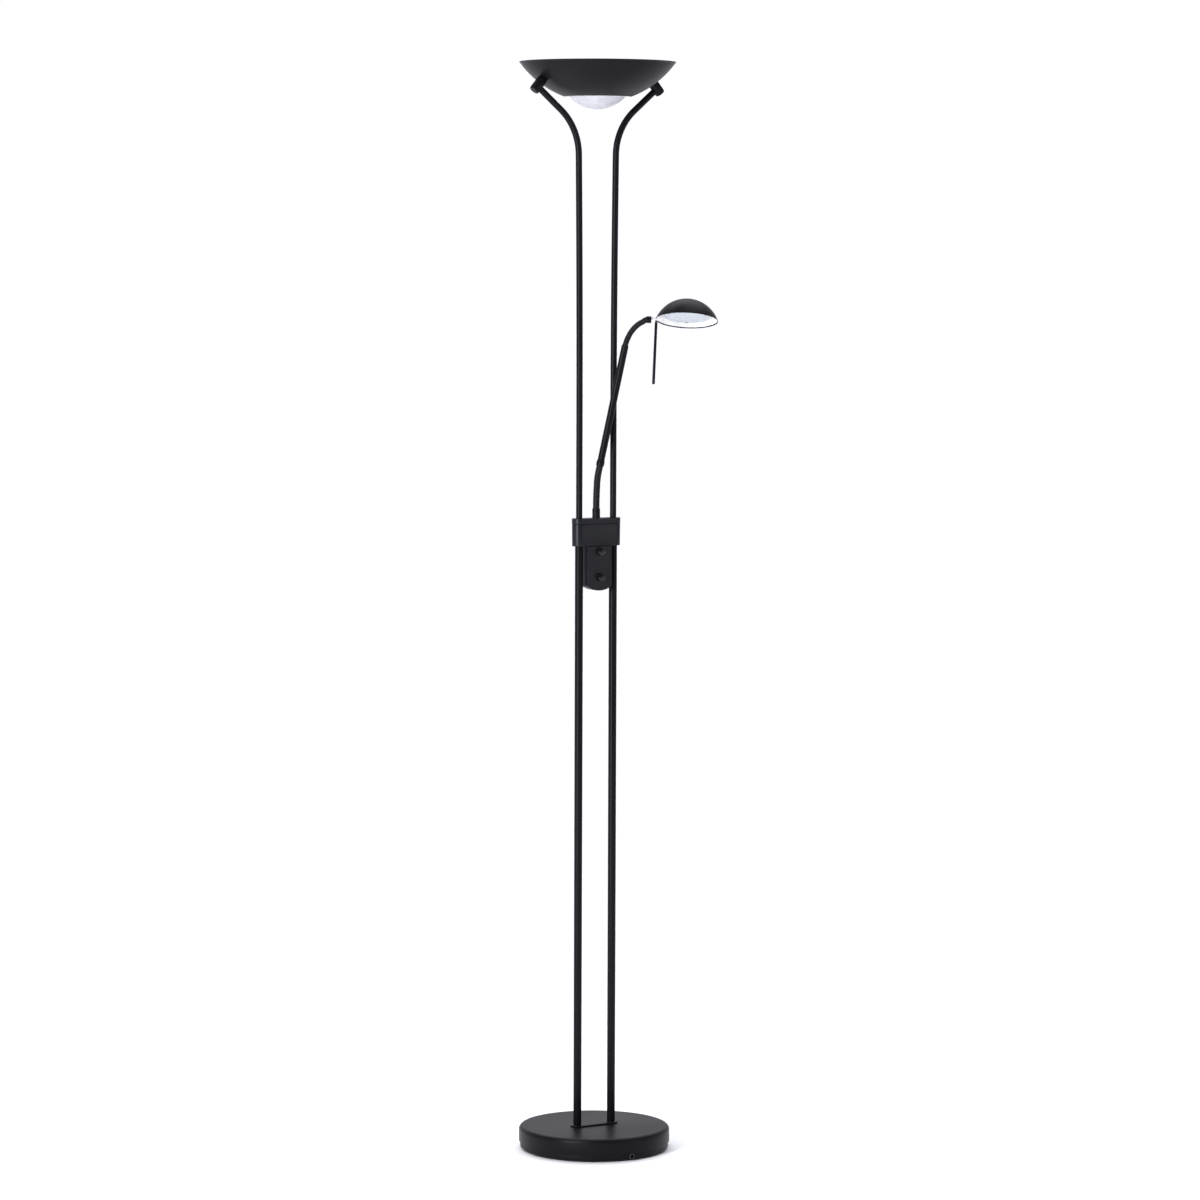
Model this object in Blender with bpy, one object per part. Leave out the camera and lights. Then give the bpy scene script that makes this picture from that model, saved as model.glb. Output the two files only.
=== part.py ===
"""Torchiere floor lamp with a dimmed uplighter bowl and a flexible reading arm.

Metres, +Z up. The origin is the middle of the foot pad on the floor. X runs along the pair of
column tubes, and -Y is the front, where the dimmer knobs and the cord inlet are.
"""

import math

import bmesh
import bpy
from mathutils import Matrix, Vector

GAP = 0.0003
UP = Vector((0, 0, 1))
FRONT = Vector((0, -1, 0))

# Base
COVER_RADIUS = 0.1254
COVER_TOP = 0.0387
COVER_BOTTOM = 0.0128
COVER_EDGE = 0.0065
TRAY_RADIUS = 0.1236
TRAY_EDGE = 0.004
TRAY_TOP = 0.020
PAD_RADIUS = 0.118
PAD_THICK = 0.0015
SHEET = 0.001
WEIGHT_RADIUS = 0.105
WEIGHT_TOP = 0.021
INLET_HEIGHT = 0.0077
INLET_RADIUS = 0.0032
NOTCH_HALF_WIDTH = 0.0049
NOTCH_TOP = 0.0126
PLATE_THICK = 0.0021
PLATE_END_RADIUS = 0.0114
BAR_THICK = 0.003
BAR_HALF_LENGTH = 0.047
BAR_HALF_WIDTH = 0.011
BOLT_HOLE = 0.0053
FOOT_BOLT_HEAD = (0.013, 0.0055)
FOOT_BOLT_SHANK = (0.005, 0.028)
FOOT_BOLT_BORE = 0.0032

# Column tubes
TUBE_X = 0.03225
LOWER_TUBE_RADIUS = 0.0067
LOWER_TUBE_BORE = 0.00565
UPPER_TUBE_RADIUS = 0.0053
UPPER_TUBE_BORE = 0.0043
LOWER_TUBE_TOP = 1.030
UPPER_TUBE_BOTTOM = 0.985
SPLAY_START = 1.200
SPLAY_END = 1.6483
SPLAY = 0.00275
BEND_RADIUS = 0.097

# Collar and dimmer
COLLAR_END_RADIUS = 0.0119
COLLAR_BOTTOM = 1.0066
COLLAR_SPLIT = 1.0430
COLLAR_TOP = 1.0525
HOUSING_HALF_WIDTH = 0.023
HOUSING_BOTTOM = 0.933
HOUSING_ARC = 0.040
HOUSING_FRONT = -0.0133
HOUSING_BACK = 0.005
HOUSING_WALL = 0.0016
BACK_THICK = 0.0017
KNOB_HEIGHTS = {"upper": 0.998, "lower": 0.9556}
KNOB_RADIUS = 0.00675
KNOB_DEPTH = 0.008
SHAFT_RADIUS = 0.0024
SHAFT_HOLE = 0.003
POST_RADIUS = 0.0032
POST_BORE = 0.0016
SCREW_X = 0.016
SCREW_Z = 0.977

# Uplighter
BOWL_SPHERE = 0.1576
BOWL_CENTRE_Z = 1.8909
BOWL_RIM_Z = 1.800
BOWL_FLOOR_Z = 1.743
BOWL_HOLE = 0.0475
DISH_SPHERE = 0.0615
DISH_CENTRE_Z = 1.784
DISH_WALL = 0.003
DISH_FLANGE = 0.0535
BOSS_ANGLE = math.radians(40.4)
BOSS_OUTER = 0.1844
BOSS_INNER = 0.158
BOSS_RADIUS = 0.0085
BOSS_TUBE = 0.1744
BOWL_BOLT_HEAD = (0.013, 0.0035)
BOWL_BOLT_SHANK = (0.0045, 0.0115)
BOWL_BOLT_BORE = 0.003
BOWL_BOLT_SEAT = 0.1541
BRACKET_FLOOR_Z = 1.757
BRACKET_HALF_WIDTH = 0.008
BRACKET_THICK = 0.0012
LAMP_AXIS_Z = 1.7705
LAMP_HALF_LENGTH = 0.0588
HOLDER_INNER_X = 0.055
HOLDER_LENGTH = 0.014
HOLDER_HALF_WIDTH = 0.0075

# Reading arm, in the upright plane turned ARM_TURN from +X
ARM_TURN = math.radians(-30)
PIVOT_Z = 1.075
ROOT_FERRULE_RADIUS = 0.0065
LOWER_NECK_RADIUS = 0.0056
LOWER_NECK_STEP = 0.022
LOWER_LEANS = [0, 1.5, 3.0, 11.7]
LAST_LOWER_STEP = 0.020
ARM_TUBE_LENGTH = 0.203
ARM_TUBE_RADIUS = 0.0058
ARM_TUBE_BORE = 0.0050
UPPER_NECK_RADIUS = 0.0047
UPPER_STEPS = [0.0095, 0.017, 0.016, 0.0125]
UPPER_LEANS = [16.5, 27.8, 45.8, 66.5]
FERRULE_RADIUS = 0.0057
FERRULE_SPAN = (0.0813, 0.0896)
FERRULE_Z = 1.3792
STEM_RADIUS = 0.002
STEM_Z = 1.3813

# Reading head
HEAD_CENTRE = (0.148, 1.3779)
HEAD_TILT = math.radians(2.5)
HEAD_ROLL = math.radians(-15.5)
SHADE_SPHERE = 0.055
SHADE_RIM = 0.0515
SHADE_WALL = 0.0008
GLASS_RADIUS = 0.037
GLASS_HEIGHT = 0.0055
GLASS_THICK = 0.0025
CLIP_BEARINGS = {"back": 90, "right": -30, "front": -150}
CLIP_THICK = 0.0008
CLIP_TOP = 0.0093
CLIP_REACH = 0.0450
CLIP_LEAF = 0.003
CLIP_HALF_WIDTH = 0.002
HANDLE_U = -0.0503
HANDLE_RADIUS = 0.0016
HANDLE_LENGTH = 0.110
HANDLE_SEAT = 0.012
GRIP_LENGTH = 0.1045
GRIP_RADIUS = 0.0024

ARM = Matrix.Rotation(ARM_TURN, 4, "Z")


def clear_scene():
    for obj in list(bpy.data.objects):
        bpy.data.objects.remove(obj)


def make_material(name, colour, roughness, metallic=0.0):
    material = bpy.data.materials.new(name)
    material.use_nodes = True
    shader = material.node_tree.nodes["Principled BSDF"]
    shader.inputs["Base Color"].default_value = (*colour, 1)
    shader.inputs["Roughness"].default_value = roughness
    shader.inputs["Metallic"].default_value = metallic
    return material


clear_scene()
BLACK = (0.018, 0.018, 0.019)
STEEL = (0.55, 0.55, 0.56)
pivots = {}


def add_pivot(name, place, parent=None):
    """An empty on a joint's axis, hung from the joint before it."""
    empty = bpy.data.objects.new(name, None)
    bpy.context.scene.collection.objects.link(empty)
    empty.parent = pivots[parent][0] if parent else None
    empty.location = Vector(place) - (pivots[parent][1] if parent else Vector())
    pivots[name] = (empty, Vector(place))


def add_object(name, bm, colour, roughness, metallic=0.0, pivot=None):
    """The finished body: a moving piece has its origin on its joint and hangs from it."""
    bmesh.ops.recalc_face_normals(bm, faces=bm.faces)
    if pivot:
        bmesh.ops.translate(bm, verts=bm.verts, vec=-pivots[pivot][1])
    mesh = bpy.data.meshes.new(name)
    bm.to_mesh(mesh)
    bm.free()
    mesh.shade_smooth()
    mesh.set_sharp_from_angle(angle=math.radians(30))
    obj = bpy.data.objects.new(name, mesh)
    bpy.context.scene.collection.objects.link(obj)
    obj.parent = pivots[pivot][0] if pivot else None
    mesh.materials.append(make_material(name, colour, roughness, metallic))
    return obj


def boolean(obj, bm, operation="DIFFERENCE", pivot=None):
    """Cuts, joins or trims the object with a hidden helper body."""
    helper = add_object(obj.name + "_" + operation.lower(), bm, BLACK, 0.5, pivot=pivot)
    helper.hide_render = True
    helper.display_type = "WIRE"
    modifier = obj.modifiers.new(operation.title(), "BOOLEAN")
    modifier.operation = operation
    modifier.solver = "EXACT"
    modifier.object = helper


def aim(place, direction):
    """A frame at the place whose Z runs along the direction."""
    turn_to = Vector(direction).to_track_quat("Z", "Y").to_matrix().to_4x4()
    return Matrix.Translation(place) @ turn_to


def arc(centre, radius, start, end, count):
    """Points (r, z) on an arc, with angles in degrees from +r towards +z."""
    angles = [math.radians(start + (end - start) * i / count) for i in range(count + 1)]
    return [(centre[0] + radius * math.cos(a), centre[1] + radius * math.sin(a)) for a in angles]


def turned(outline, sides, frame=None, closed=False):
    """Turns an (r, z) outline round Z. Open outlines start and end on the axis."""
    bm = bmesh.new()
    verts = [bm.verts.new((r, 0, z)) for r, z in outline]
    followers = verts[1:] + (verts[:1] if closed else [])
    edges = [bm.edges.new(pair) for pair in zip(verts, followers)]
    bmesh.ops.spin(bm, geom=verts + edges, axis=UP, cent=(0, 0, 0), angle=math.tau,
                   steps=sides, use_merge=True)
    bmesh.ops.remove_doubles(bm, verts=bm.verts, dist=1e-7)
    bmesh.ops.transform(bm, matrix=frame or Matrix(), verts=bm.verts)
    return bm


def tube_outline(outer, inner, low, high):
    return [(outer, low), (outer, high), (inner, high), (inner, low)]


def rod(radius, low, high, sides=24, frame=None):
    return turned([(0, low), (radius, low), (radius, high), (0, high)], sides, frame)


def ring(outer, inner, low, high, sides=24, frame=None):
    return turned(tube_outline(outer, inner, low, high), sides, frame, closed=True)


def block(low, high, frame=None, bevel=0.0):
    """A box between two corners, with its edges eased if bevel is given."""
    low, high = Vector(low), Vector(high)
    bm = bmesh.new()
    bmesh.ops.create_cube(bm, size=1)
    bmesh.ops.scale(bm, vec=high - low, verts=bm.verts)
    bmesh.ops.translate(bm, vec=(low + high) / 2, verts=bm.verts)
    if bevel:
        bmesh.ops.bevel(bm, geom=bm.edges, offset=bevel, affect="EDGES", segments=1,
                        profile=0.5, material=-1)
    bmesh.ops.transform(bm, matrix=frame or Matrix(), verts=bm.verts)
    return bm


def prism(outline, height, frame=None):
    """An outline in X and Y, raised along Z by the height."""
    bm = bmesh.new()
    face = bm.faces.new([bm.verts.new((x, y, 0)) for x, y in outline])
    raised = bmesh.ops.extrude_face_region(bm, geom=[face])
    verts = [part for part in raised["geom"] if isinstance(part, bmesh.types.BMVert)]
    bmesh.ops.translate(bm, vec=(0, 0, height), verts=verts)
    bmesh.ops.transform(bm, matrix=frame or Matrix(), verts=bm.verts)
    return bm


def joined(*bodies):
    """One bmesh holding the shapes of several, for helpers that cut in many places."""
    whole = bmesh.new()
    for body in bodies:
        mesh = bpy.data.meshes.new("part")
        body.to_mesh(mesh)
        body.free()
        whole.from_mesh(mesh)
        bpy.data.meshes.remove(mesh)
    return whole


def hexagon(across_flats):
    corner = across_flats / math.sqrt(3)
    return [(corner * math.cos(math.radians(60 * i)), corner * math.sin(math.radians(60 * i)))
            for i in range(6)]


def stadium(half_spacing, radius, count=10):
    """Two half circles of the radius about the tube centres, joined by straight sides."""
    right = arc((half_spacing, 0), radius, -90, 90, count)
    left = arc((-half_spacing, 0), radius, 90, 270, count)
    return right + left


def hollow_bolt(name, frame, head, shank, bore, colour=STEEL):
    """A hex-headed bolt drilled through for the leads: head = (flats, height), shank = (radius,
    length), along +Z of the frame from the underside of the head."""
    bolt = add_object(name, prism(hexagon(head[0]), head[1], frame @ Matrix.Translation(
        (0, 0, -head[1]))), colour, 0.35, 1.0)
    boolean(bolt, rod(shank[0], -0.001, shank[1], 20, frame), "UNION")
    boolean(bolt, rod(bore, -head[1] - 0.002, shank[1] + 0.002, 16, frame))
    return bolt


# ---- Base ----

def make_pad_and_tray():
    add_object("base_pad", rod(PAD_RADIUS, 0, PAD_THICK, 48), (0.03, 0.03, 0.03), 0.9)
    low = PAD_THICK + GAP
    inner = TRAY_RADIUS - SHEET
    outline = [(0, low)]
    outline += arc((TRAY_RADIUS - TRAY_EDGE, low + TRAY_EDGE), TRAY_EDGE, -90, 0, 2)
    outline += [(TRAY_RADIUS, TRAY_TOP), (inner, TRAY_TOP)]
    outline += arc((TRAY_RADIUS - TRAY_EDGE, low + TRAY_EDGE), TRAY_EDGE - SHEET, 0, -90, 2)
    outline += [(0, low + SHEET)]
    tray = add_object("base_tray", turned(outline, 40), BLACK, 0.45)
    boolean(tray, block((-NOTCH_HALF_WIDTH, -0.130, 0), (NOTCH_HALF_WIDTH, -0.116, NOTCH_TOP)))


def make_weight():
    low = PAD_THICK + SHEET + 2 * GAP
    weight = add_object("base_weight", ring(WEIGHT_RADIUS, 0.008, low, WEIGHT_TOP, 40),
                        (0.09, 0.085, 0.08), 0.8, 0.6)
    boolean(weight, block((-0.005, -0.110, 0), (0.005, 0, 0.0135)))


def make_gland():
    frame = aim((0, -0.117, INLET_HEIGHT), FRONT)
    outline = [(INLET_RADIUS, 0), (0.0042, 0), (0.0042, 0.0034), (0.0046, 0.0038)]
    outline += [(0.0046, 0.0088), (0.0041, 0.0095), (INLET_RADIUS, 0.0095)]
    add_object("cord_gland", turned(outline, 20, frame, closed=True), (0.05, 0.05, 0.05), 0.5)


def bolt_holes(low, high):
    """Cutters for the hollow bolts of both tubes."""
    sides = [Matrix.Translation((x, 0, 0)) for x in (-TUBE_X, TUBE_X)]
    return joined(*[rod(BOLT_HOLE, low, high, 20, side) for side in sides])


def make_cover():
    inner = COVER_RADIUS - SHEET
    centre = (COVER_RADIUS - COVER_EDGE, COVER_TOP - COVER_EDGE)
    outline = [(0, COVER_TOP)]
    outline += arc(centre, COVER_EDGE, 90, 0, 3)
    outline += [(COVER_RADIUS, COVER_BOTTOM), (inner, COVER_BOTTOM)]
    outline += arc(centre, COVER_EDGE - SHEET, 0, 90, 3)
    outline += [(0, COVER_TOP - SHEET)]
    cover = add_object("base_cover", turned(outline, 40), BLACK, 0.4)
    boolean(cover, bolt_holes(0.034, 0.042))


def make_foot():
    low = COVER_TOP + GAP
    plate = add_object("foot_plate", prism(stadium(TUBE_X, PLATE_END_RADIUS), PLATE_THICK,
                       Matrix.Translation((0, 0, low))), BLACK, 0.4)
    boolean(plate, bolt_holes(0.030, 0.045))
    bar_low = COVER_TOP - SHEET - GAP - BAR_THICK
    bar = add_object("clamp_bar", block((-BAR_HALF_LENGTH, -BAR_HALF_WIDTH, bar_low),
                     (BAR_HALF_LENGTH, BAR_HALF_WIDTH, bar_low + BAR_THICK)), STEEL, 0.4, 1.0)
    boolean(bar, bolt_holes(0.030, 0.045))
    for side, x in (("left", -TUBE_X), ("right", TUBE_X)):
        hollow_bolt("foot_bolt_" + side, Matrix.Translation((x, 0, bar_low - GAP)),
                    FOOT_BOLT_HEAD, FOOT_BOLT_SHANK, FOOT_BOLT_BORE)


# ---- Column ----

def tube_path():
    """Centreline of the right-hand upper tube as (x, z, lean), lean from the upright."""
    path = [(TUBE_X, UPPER_TUBE_BOTTOM, 0), (TUBE_X, SPLAY_START, 0)]
    height = SPLAY_END - SPLAY_START
    for step in (0.25, 0.5, 0.75, 1):
        lean = math.atan(2 * SPLAY * step / height)
        path.append((TUBE_X + SPLAY * step * step, SPLAY_START + height * step, lean))
    x0, z0, start = path[-1]
    end = math.pi / 2 - BOSS_ANGLE
    for i in range(1, 9):
        lean = start + (end - start) * i / 8
        path.append((x0 + BEND_RADIUS * (math.cos(start) - math.cos(lean)),
                     z0 + BEND_RADIUS * (math.sin(lean) - math.sin(start)), lean))
    x1, z1, lean = path[-1]
    boss_x = BOSS_TUBE * math.sin(BOSS_ANGLE)
    run = (boss_x - x1) / math.sin(lean) - 0.002
    path.append((x1 + run * math.sin(lean), z1 + run * math.cos(lean), lean))
    return path


def swept_tube(path, outer, inner, sides):
    """A hollow tube carried along (x, z, lean) stations in the plane of the column."""
    bm = bmesh.new()
    for radius in (outer, inner):
        bmesh.ops.create_circle(bm, radius=radius, segments=sides)
    bmesh.ops.bridge_loops(bm, edges=bm.edges)
    frames = [Matrix.Translation((x, 0, z)) @ Matrix.Rotation(lean, 4, "Y") for x, z, lean in path]
    bmesh.ops.transform(bm, matrix=frames[0], verts=bm.verts)
    faces = list(bm.faces)
    for i, (before, after) in enumerate(zip(frames, frames[1:])):
        grown = bmesh.ops.extrude_face_region(bm, geom=faces)["geom"]
        if i:
            inner_faces = [face for face in faces if face.is_valid]
            bmesh.ops.delete(bm, geom=inner_faces, context="FACES_ONLY")
        faces = [part for part in grown if isinstance(part, bmesh.types.BMFace)]
        verts = [part for part in grown if isinstance(part, bmesh.types.BMVert)]
        bmesh.ops.transform(bm, matrix=after @ before.inverted(), verts=verts)
    return bm


def make_column():
    foot = COVER_TOP + PLATE_THICK + 2 * GAP
    for side, sign in (("left", -1), ("right", 1)):
        lower = ring(LOWER_TUBE_RADIUS, LOWER_TUBE_BORE, foot, LOWER_TUBE_TOP, 24,
                     Matrix.Translation((sign * TUBE_X, 0, 0)))
        add_object("lower_tube_" + side, lower, BLACK, 0.4)
        upper = swept_tube(tube_path(), UPPER_TUBE_RADIUS, UPPER_TUBE_BORE, 14)
        if sign < 0:
            bmesh.ops.scale(upper, vec=(-1, 1, 1), verts=upper.verts)
        add_object("upper_tube_" + side, upper, BLACK, 0.4)


# ---- Collar and dimmer ----

def make_collar():
    body = prism(stadium(TUBE_X, COLLAR_END_RADIUS), COLLAR_SPLIT - COLLAR_BOTTOM,
                 Matrix.Translation((0, 0, COLLAR_BOTTOM)))
    low_verts = [v for v in body.verts if v.co.z < COLLAR_BOTTOM + 0.001]
    bmesh.ops.scale(body, vec=(0.993, 0.975, 1), verts=low_verts)
    body = add_object("collar_body", body, BLACK, 0.5)
    cap = add_object("collar_cap", prism(stadium(TUBE_X, COLLAR_END_RADIUS + 0.0002),
                     COLLAR_TOP - COLLAR_SPLIT - GAP,
                     Matrix.Translation((0, 0, COLLAR_SPLIT + GAP))), BLACK, 0.5)
    wide = LOWER_TUBE_RADIUS + GAP
    narrow = UPPER_TUBE_RADIUS + GAP
    stepped = [(0, 1.0), (wide, 1.0), (wide, LOWER_TUBE_TOP + GAP)]
    stepped += [(narrow, LOWER_TUBE_TOP + GAP), (narrow, 1.06), (0, 1.06)]
    sides = [Matrix.Translation((x, 0, 0)) for x in (-TUBE_X, TUBE_X)]
    well = [(0, 1.0), (0.003, 1.0), (0.003, 1.030), (0.009, 1.030), (0.009, 1.06), (0, 1.06)]
    boolean(body, joined(*[turned(stepped, 24, side) for side in sides], turned(well, 24)))
    boolean(cap, joined(*[rod(narrow, 1.03, 1.06, 24, side) for side in sides],
                        rod(0.0043, 1.03, 1.06, 20)))


def housing_outline(inset=0.0):
    """Outline in X and Z of the dimmer housing: square top, rounded-under bottom."""
    half = HOUSING_HALF_WIDTH - inset
    top = COLLAR_BOTTOM - GAP - inset
    reach = math.degrees(math.asin(half / HOUSING_ARC))
    bottom = arc((0, HOUSING_BOTTOM + HOUSING_ARC), HOUSING_ARC - inset, 270 - reach, 270 + reach, 8)
    ease = 0.002
    corner_z = bottom[0][1]
    under = [(-half, corner_z + ease)] + bottom[1:-1] + [(half, corner_z + ease)]
    return under + [(half, top), (-half, top)]


def slab(outline, near, far):
    """An X and Z outline carried along Y from near to far."""
    frame = Matrix.Translation((0, far, 0)) @ Matrix.Rotation(math.pi / 2, 4, "X")
    return prism(outline, far - near, frame)


def make_dimmer():
    shell = slab(housing_outline(), HOUSING_FRONT, HOUSING_BACK)
    front = [e for e in shell.edges if all(v.co.y < HOUSING_FRONT + 1e-5 for v in e.verts)]
    bmesh.ops.bevel(shell, geom=front, offset=0.0012, affect="EDGES", segments=2, profile=0.5,
                    material=-1)
    housing = add_object("dimmer_housing", shell, BLACK, 0.5)
    boolean(housing, slab(housing_outline(HOUSING_WALL), HOUSING_FRONT + HOUSING_WALL, 0.010))
    posts = [aim((x, HOUSING_FRONT + 0.0005, SCREW_Z), -FRONT) for x in (-SCREW_X, SCREW_X)]
    post_length = HOUSING_BACK - HOUSING_FRONT - 0.001
    boolean(housing, joined(*[rod(POST_RADIUS, 0, post_length, 16, post) for post in posts]), "UNION")
    shafts = [aim((0, -0.010, z), FRONT) for z in KNOB_HEIGHTS.values()]
    bores = [rod(POST_BORE, 0.004, 0.030, 12, post) for post in posts]
    boolean(housing, joined(*bores, *[rod(SHAFT_HOLE, 0, 0.008, 20, shaft) for shaft in shafts]))
    back = add_object("dimmer_back", slab(housing_outline(), HOUSING_BACK + GAP,
                      HOUSING_BACK + GAP + BACK_THICK), BLACK, 0.5)
    boolean(back, joined(*[rod(POST_BORE, 0, 0.030, 12, post) for post in posts]))
    screw_outline = [(0, 0), (0.0026, 0), (0.0026, 0.0008), (0.0018, 0.0014), (0, 0.0016)]
    for side, x in (("left", -SCREW_X), ("right", SCREW_X)):
        seat = aim((x, HOUSING_BACK + 2 * GAP + BACK_THICK, SCREW_Z), -FRONT)
        whole = [(0, -0.010), (0.0012, -0.010), (0.0012, 0)] + screw_outline[1:]
        add_object("back_screw_" + side, turned(whole, 12, seat), STEEL, 0.35, 1.0)
    board = add_object("dimmer_board", block((-0.0205, -0.0005, 0.9425), (0.0205, 0.0011, 1.003)),
                       (0.05, 0.16, 0.07), 0.5)
    boolean(board, joined(*[rod(0.0036, 0, 0.030, 16, post) for post in posts]))


def make_knobs():
    for name, z in KNOB_HEIGHTS.items():
        add_pivot("knob_" + name + "_turn", (0, HOUSING_FRONT, z))
        pot = add_object("dimmer_pot_" + name, block((-0.008, -0.0095, z - 0.0062),
                         (0.008, -0.0008, z + 0.0062), bevel=0.0008), (0.25, 0.25, 0.26), 0.5)
        axis = aim((0, 0, z), FRONT)
        boolean(pot, rod(SHAFT_RADIUS + GAP, 0.005, 0.012, 20, axis))
        pivot = "knob_" + name + "_turn"
        add_object("knob_shaft_" + name, rod(SHAFT_RADIUS, 0.0056, 0.0182, 16, axis),
                   STEEL, 0.35, 1.0, pivot)
        near = -HOUSING_FRONT + GAP
        face = near + KNOB_DEPTH
        bore = SHAFT_RADIUS + GAP
        outline = [(0, near + 0.005), (bore, near + 0.005), (bore, near), (KNOB_RADIUS, near)]
        outline += [(KNOB_RADIUS, near + 0.0020), (0.0061, near + 0.0030)]
        outline += arc((0, face - 0.012), 0.012, 60, 90, 4)[:-1] + [(0, face)]
        add_object("dimmer_knob_" + name, turned(outline, 24, axis), (0.02, 0.02, 0.02), 0.2,
                   pivot=pivot)


# ---- Uplighter ----

def on_boss(distance, sign=1):
    """The point this far from the bowl's centre along a boss axis."""
    return Vector((sign * distance * math.sin(BOSS_ANGLE), 0,
                   BOWL_CENTRE_Z - distance * math.cos(BOSS_ANGLE)))


def sphere_zone(radius, centre_z, low_z, high_z, count):
    """Points (r, z) on the lower half of a sphere between two heights, from low to high."""
    first = math.asin((low_z - centre_z) / radius)
    last = math.asin((high_z - centre_z) / radius)
    return arc((0, centre_z), radius, math.degrees(first), math.degrees(last), count)


def make_bowl():
    outer = sphere_zone(BOWL_SPHERE, BOWL_CENTRE_Z, BOWL_FLOOR_Z, BOWL_RIM_Z, 8)
    inner = sphere_zone(BOWL_SPHERE - SHEET, BOWL_CENTRE_Z, BOWL_FLOOR_Z + SHEET, BOWL_RIM_Z, 8)
    outline = [(BOWL_HOLE, BOWL_FLOOR_Z)] + outer + inner[::-1] + [(BOWL_HOLE, BOWL_FLOOR_Z + SHEET)]
    bowl = add_object("uplighter_bowl", turned(outline, 44, closed=True), BLACK, 0.4)
    axes = [aim(on_boss(0.150, sign), on_boss(1, sign) - on_boss(0, sign)) for sign in (-1, 1)]
    boolean(bowl, joined(*[rod(0.0051, 0, 0.012, 20, axis) for axis in axes]))


def make_dish():
    seat = BOWL_FLOOR_Z + SHEET + GAP
    lowest = DISH_CENTRE_Z - DISH_SPHERE
    outer = sphere_zone(DISH_SPHERE, DISH_CENTRE_Z, lowest, seat, 6)
    top = seat + DISH_WALL
    inner = sphere_zone(DISH_SPHERE - DISH_WALL, DISH_CENTRE_Z, lowest + DISH_WALL, top, 6)
    outline = outer + [(DISH_FLANGE, seat), (DISH_FLANGE, top)] + inner[::-1]
    outline[0] = (0, lowest)
    outline[-1] = (0, lowest + DISH_WALL)
    add_object("opal_dish", turned(outline, 32), (0.85, 0.84, 0.88), 0.2)


def make_bosses():
    for side, sign in (("left", -1), ("right", 1)):
        inward = on_boss(0, sign) - on_boss(1, sign)
        frame = aim(on_boss(BOSS_OUTER, sign), inward)
        length = BOSS_OUTER - BOSS_INNER
        outline = [(0, 0), (0.0068, 0), (BOSS_RADIUS - 0.0004, 0.0014), (BOSS_RADIUS, 0.004)]
        outline += [(BOSS_RADIUS, length - 0.004), (BOSS_RADIUS - 0.0012, length), (0, length)]
        boss = add_object("boss_" + side, turned(outline, 20, frame), BLACK, 0.4)
        tube_way = Vector((sign * math.cos(BOSS_ANGLE), 0, math.sin(BOSS_ANGLE)))
        mouth = aim(on_boss(BOSS_TUBE, sign) - 0.020 * tube_way, tube_way)
        holes = joined(rod(UPPER_TUBE_RADIUS + GAP, 0, 0.0205, 16, mouth),
                       rod(0.0048, BOSS_OUTER - BOSS_TUBE, 0.04, 20, frame))
        boolean(boss, holes)
        seat = aim(on_boss(BOWL_BOLT_SEAT, sign), -inward)
        hollow_bolt("hollow_bolt_" + side, seat, BOWL_BOLT_HEAD, BOWL_BOLT_SHANK, BOWL_BOLT_BORE)


def bracket_path():
    """Half of the lamp bracket's bent strip in X and Z, from its middle to its end pad."""
    pad = on_boss(0.1550)
    slope = Vector((math.cos(BOSS_ANGLE), 0, math.sin(BOSS_ANGLE)))
    inner, outer = pad - 0.010 * slope, pad + 0.0085 * slope
    return [(0.072, BRACKET_FLOOR_Z), (inner.x, inner.z), (outer.x, outer.z)]


def strip(points, thick):
    """The closed outline of a bent strip of even thickness through X and Z points."""
    points = [Vector(point) for point in points]
    ways = [(after - before).normalized() for before, after in zip(points, points[1:])]
    sides = [[], []]
    for point, way_in, way_out in zip(points, ways[:1] + ways, ways + ways[-1:]):
        along = (way_in + way_out).normalized()
        across = Vector((-along.y, along.x))
        widen = 1 / across.dot(Vector((-way_out.y, way_out.x)))
        for side, sign in zip(sides, (1, -1)):
            side.append(tuple(point + sign * thick / 2 * widen * across))
    return sides[1] + sides[0][::-1]


def make_lamp_gear():
    half = bracket_path()
    points = [(-x, z) for x, z in half[::-1]] + half
    strap = slab(strip(points, BRACKET_THICK), -BRACKET_HALF_WIDTH, BRACKET_HALF_WIDTH)
    bracket = add_object("lamp_bracket", strap, STEEL, 0.4, 1.0)
    axes = [aim(on_boss(0.150, sign), on_boss(1, sign) - on_boss(0, sign)) for sign in (-1, 1)]
    boolean(bracket, joined(*[rod(0.0049, 0, 0.012, 20, axis) for axis in axes]))
    low = BRACKET_FLOOR_Z + BRACKET_THICK / 2 + GAP
    for side, sign in (("left", -1), ("right", 1)):
        near, far = sorted((sign * HOLDER_INNER_X, sign * (HOLDER_INNER_X + HOLDER_LENGTH)))
        holder = add_object("lampholder_" + side, block((near, -HOLDER_HALF_WIDTH, low),
                            (far, HOLDER_HALF_WIDTH, LAMP_AXIS_Z + 0.008), bevel=0.0012),
                            (0.85, 0.84, 0.8), 0.6)
        socket = aim((sign * (HOLDER_INNER_X - 0.002), 0, LAMP_AXIS_Z), (sign, 0, 0))
        boolean(holder, rod(0.0044, 0, 0.007, 16, socket))
    outline = [(0, -LAMP_HALF_LENGTH), (0.0030, -LAMP_HALF_LENGTH), (0.0036, -LAMP_HALF_LENGTH + 0.001)]
    outline += [(0.0036, -0.050), (0.005, -0.046)]
    outline += [(r, -x) for r, x in outline[::-1]]
    add_object("halogen_tube", turned(outline, 16, aim((0, 0, LAMP_AXIS_Z), (1, 0, 0))),
               (0.9, 0.9, 0.9), 0.05)


# ---- Reading arm ----

def in_arm(out, height):
    return ARM @ Vector((out, 0, height))


def walk(start, lean, step):
    """The arm-plane point one step from another, leaning this many degrees outwards."""
    angle = math.radians(lean)
    return start[0] + step * math.sin(angle), start[1] + step * math.cos(angle)


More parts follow.
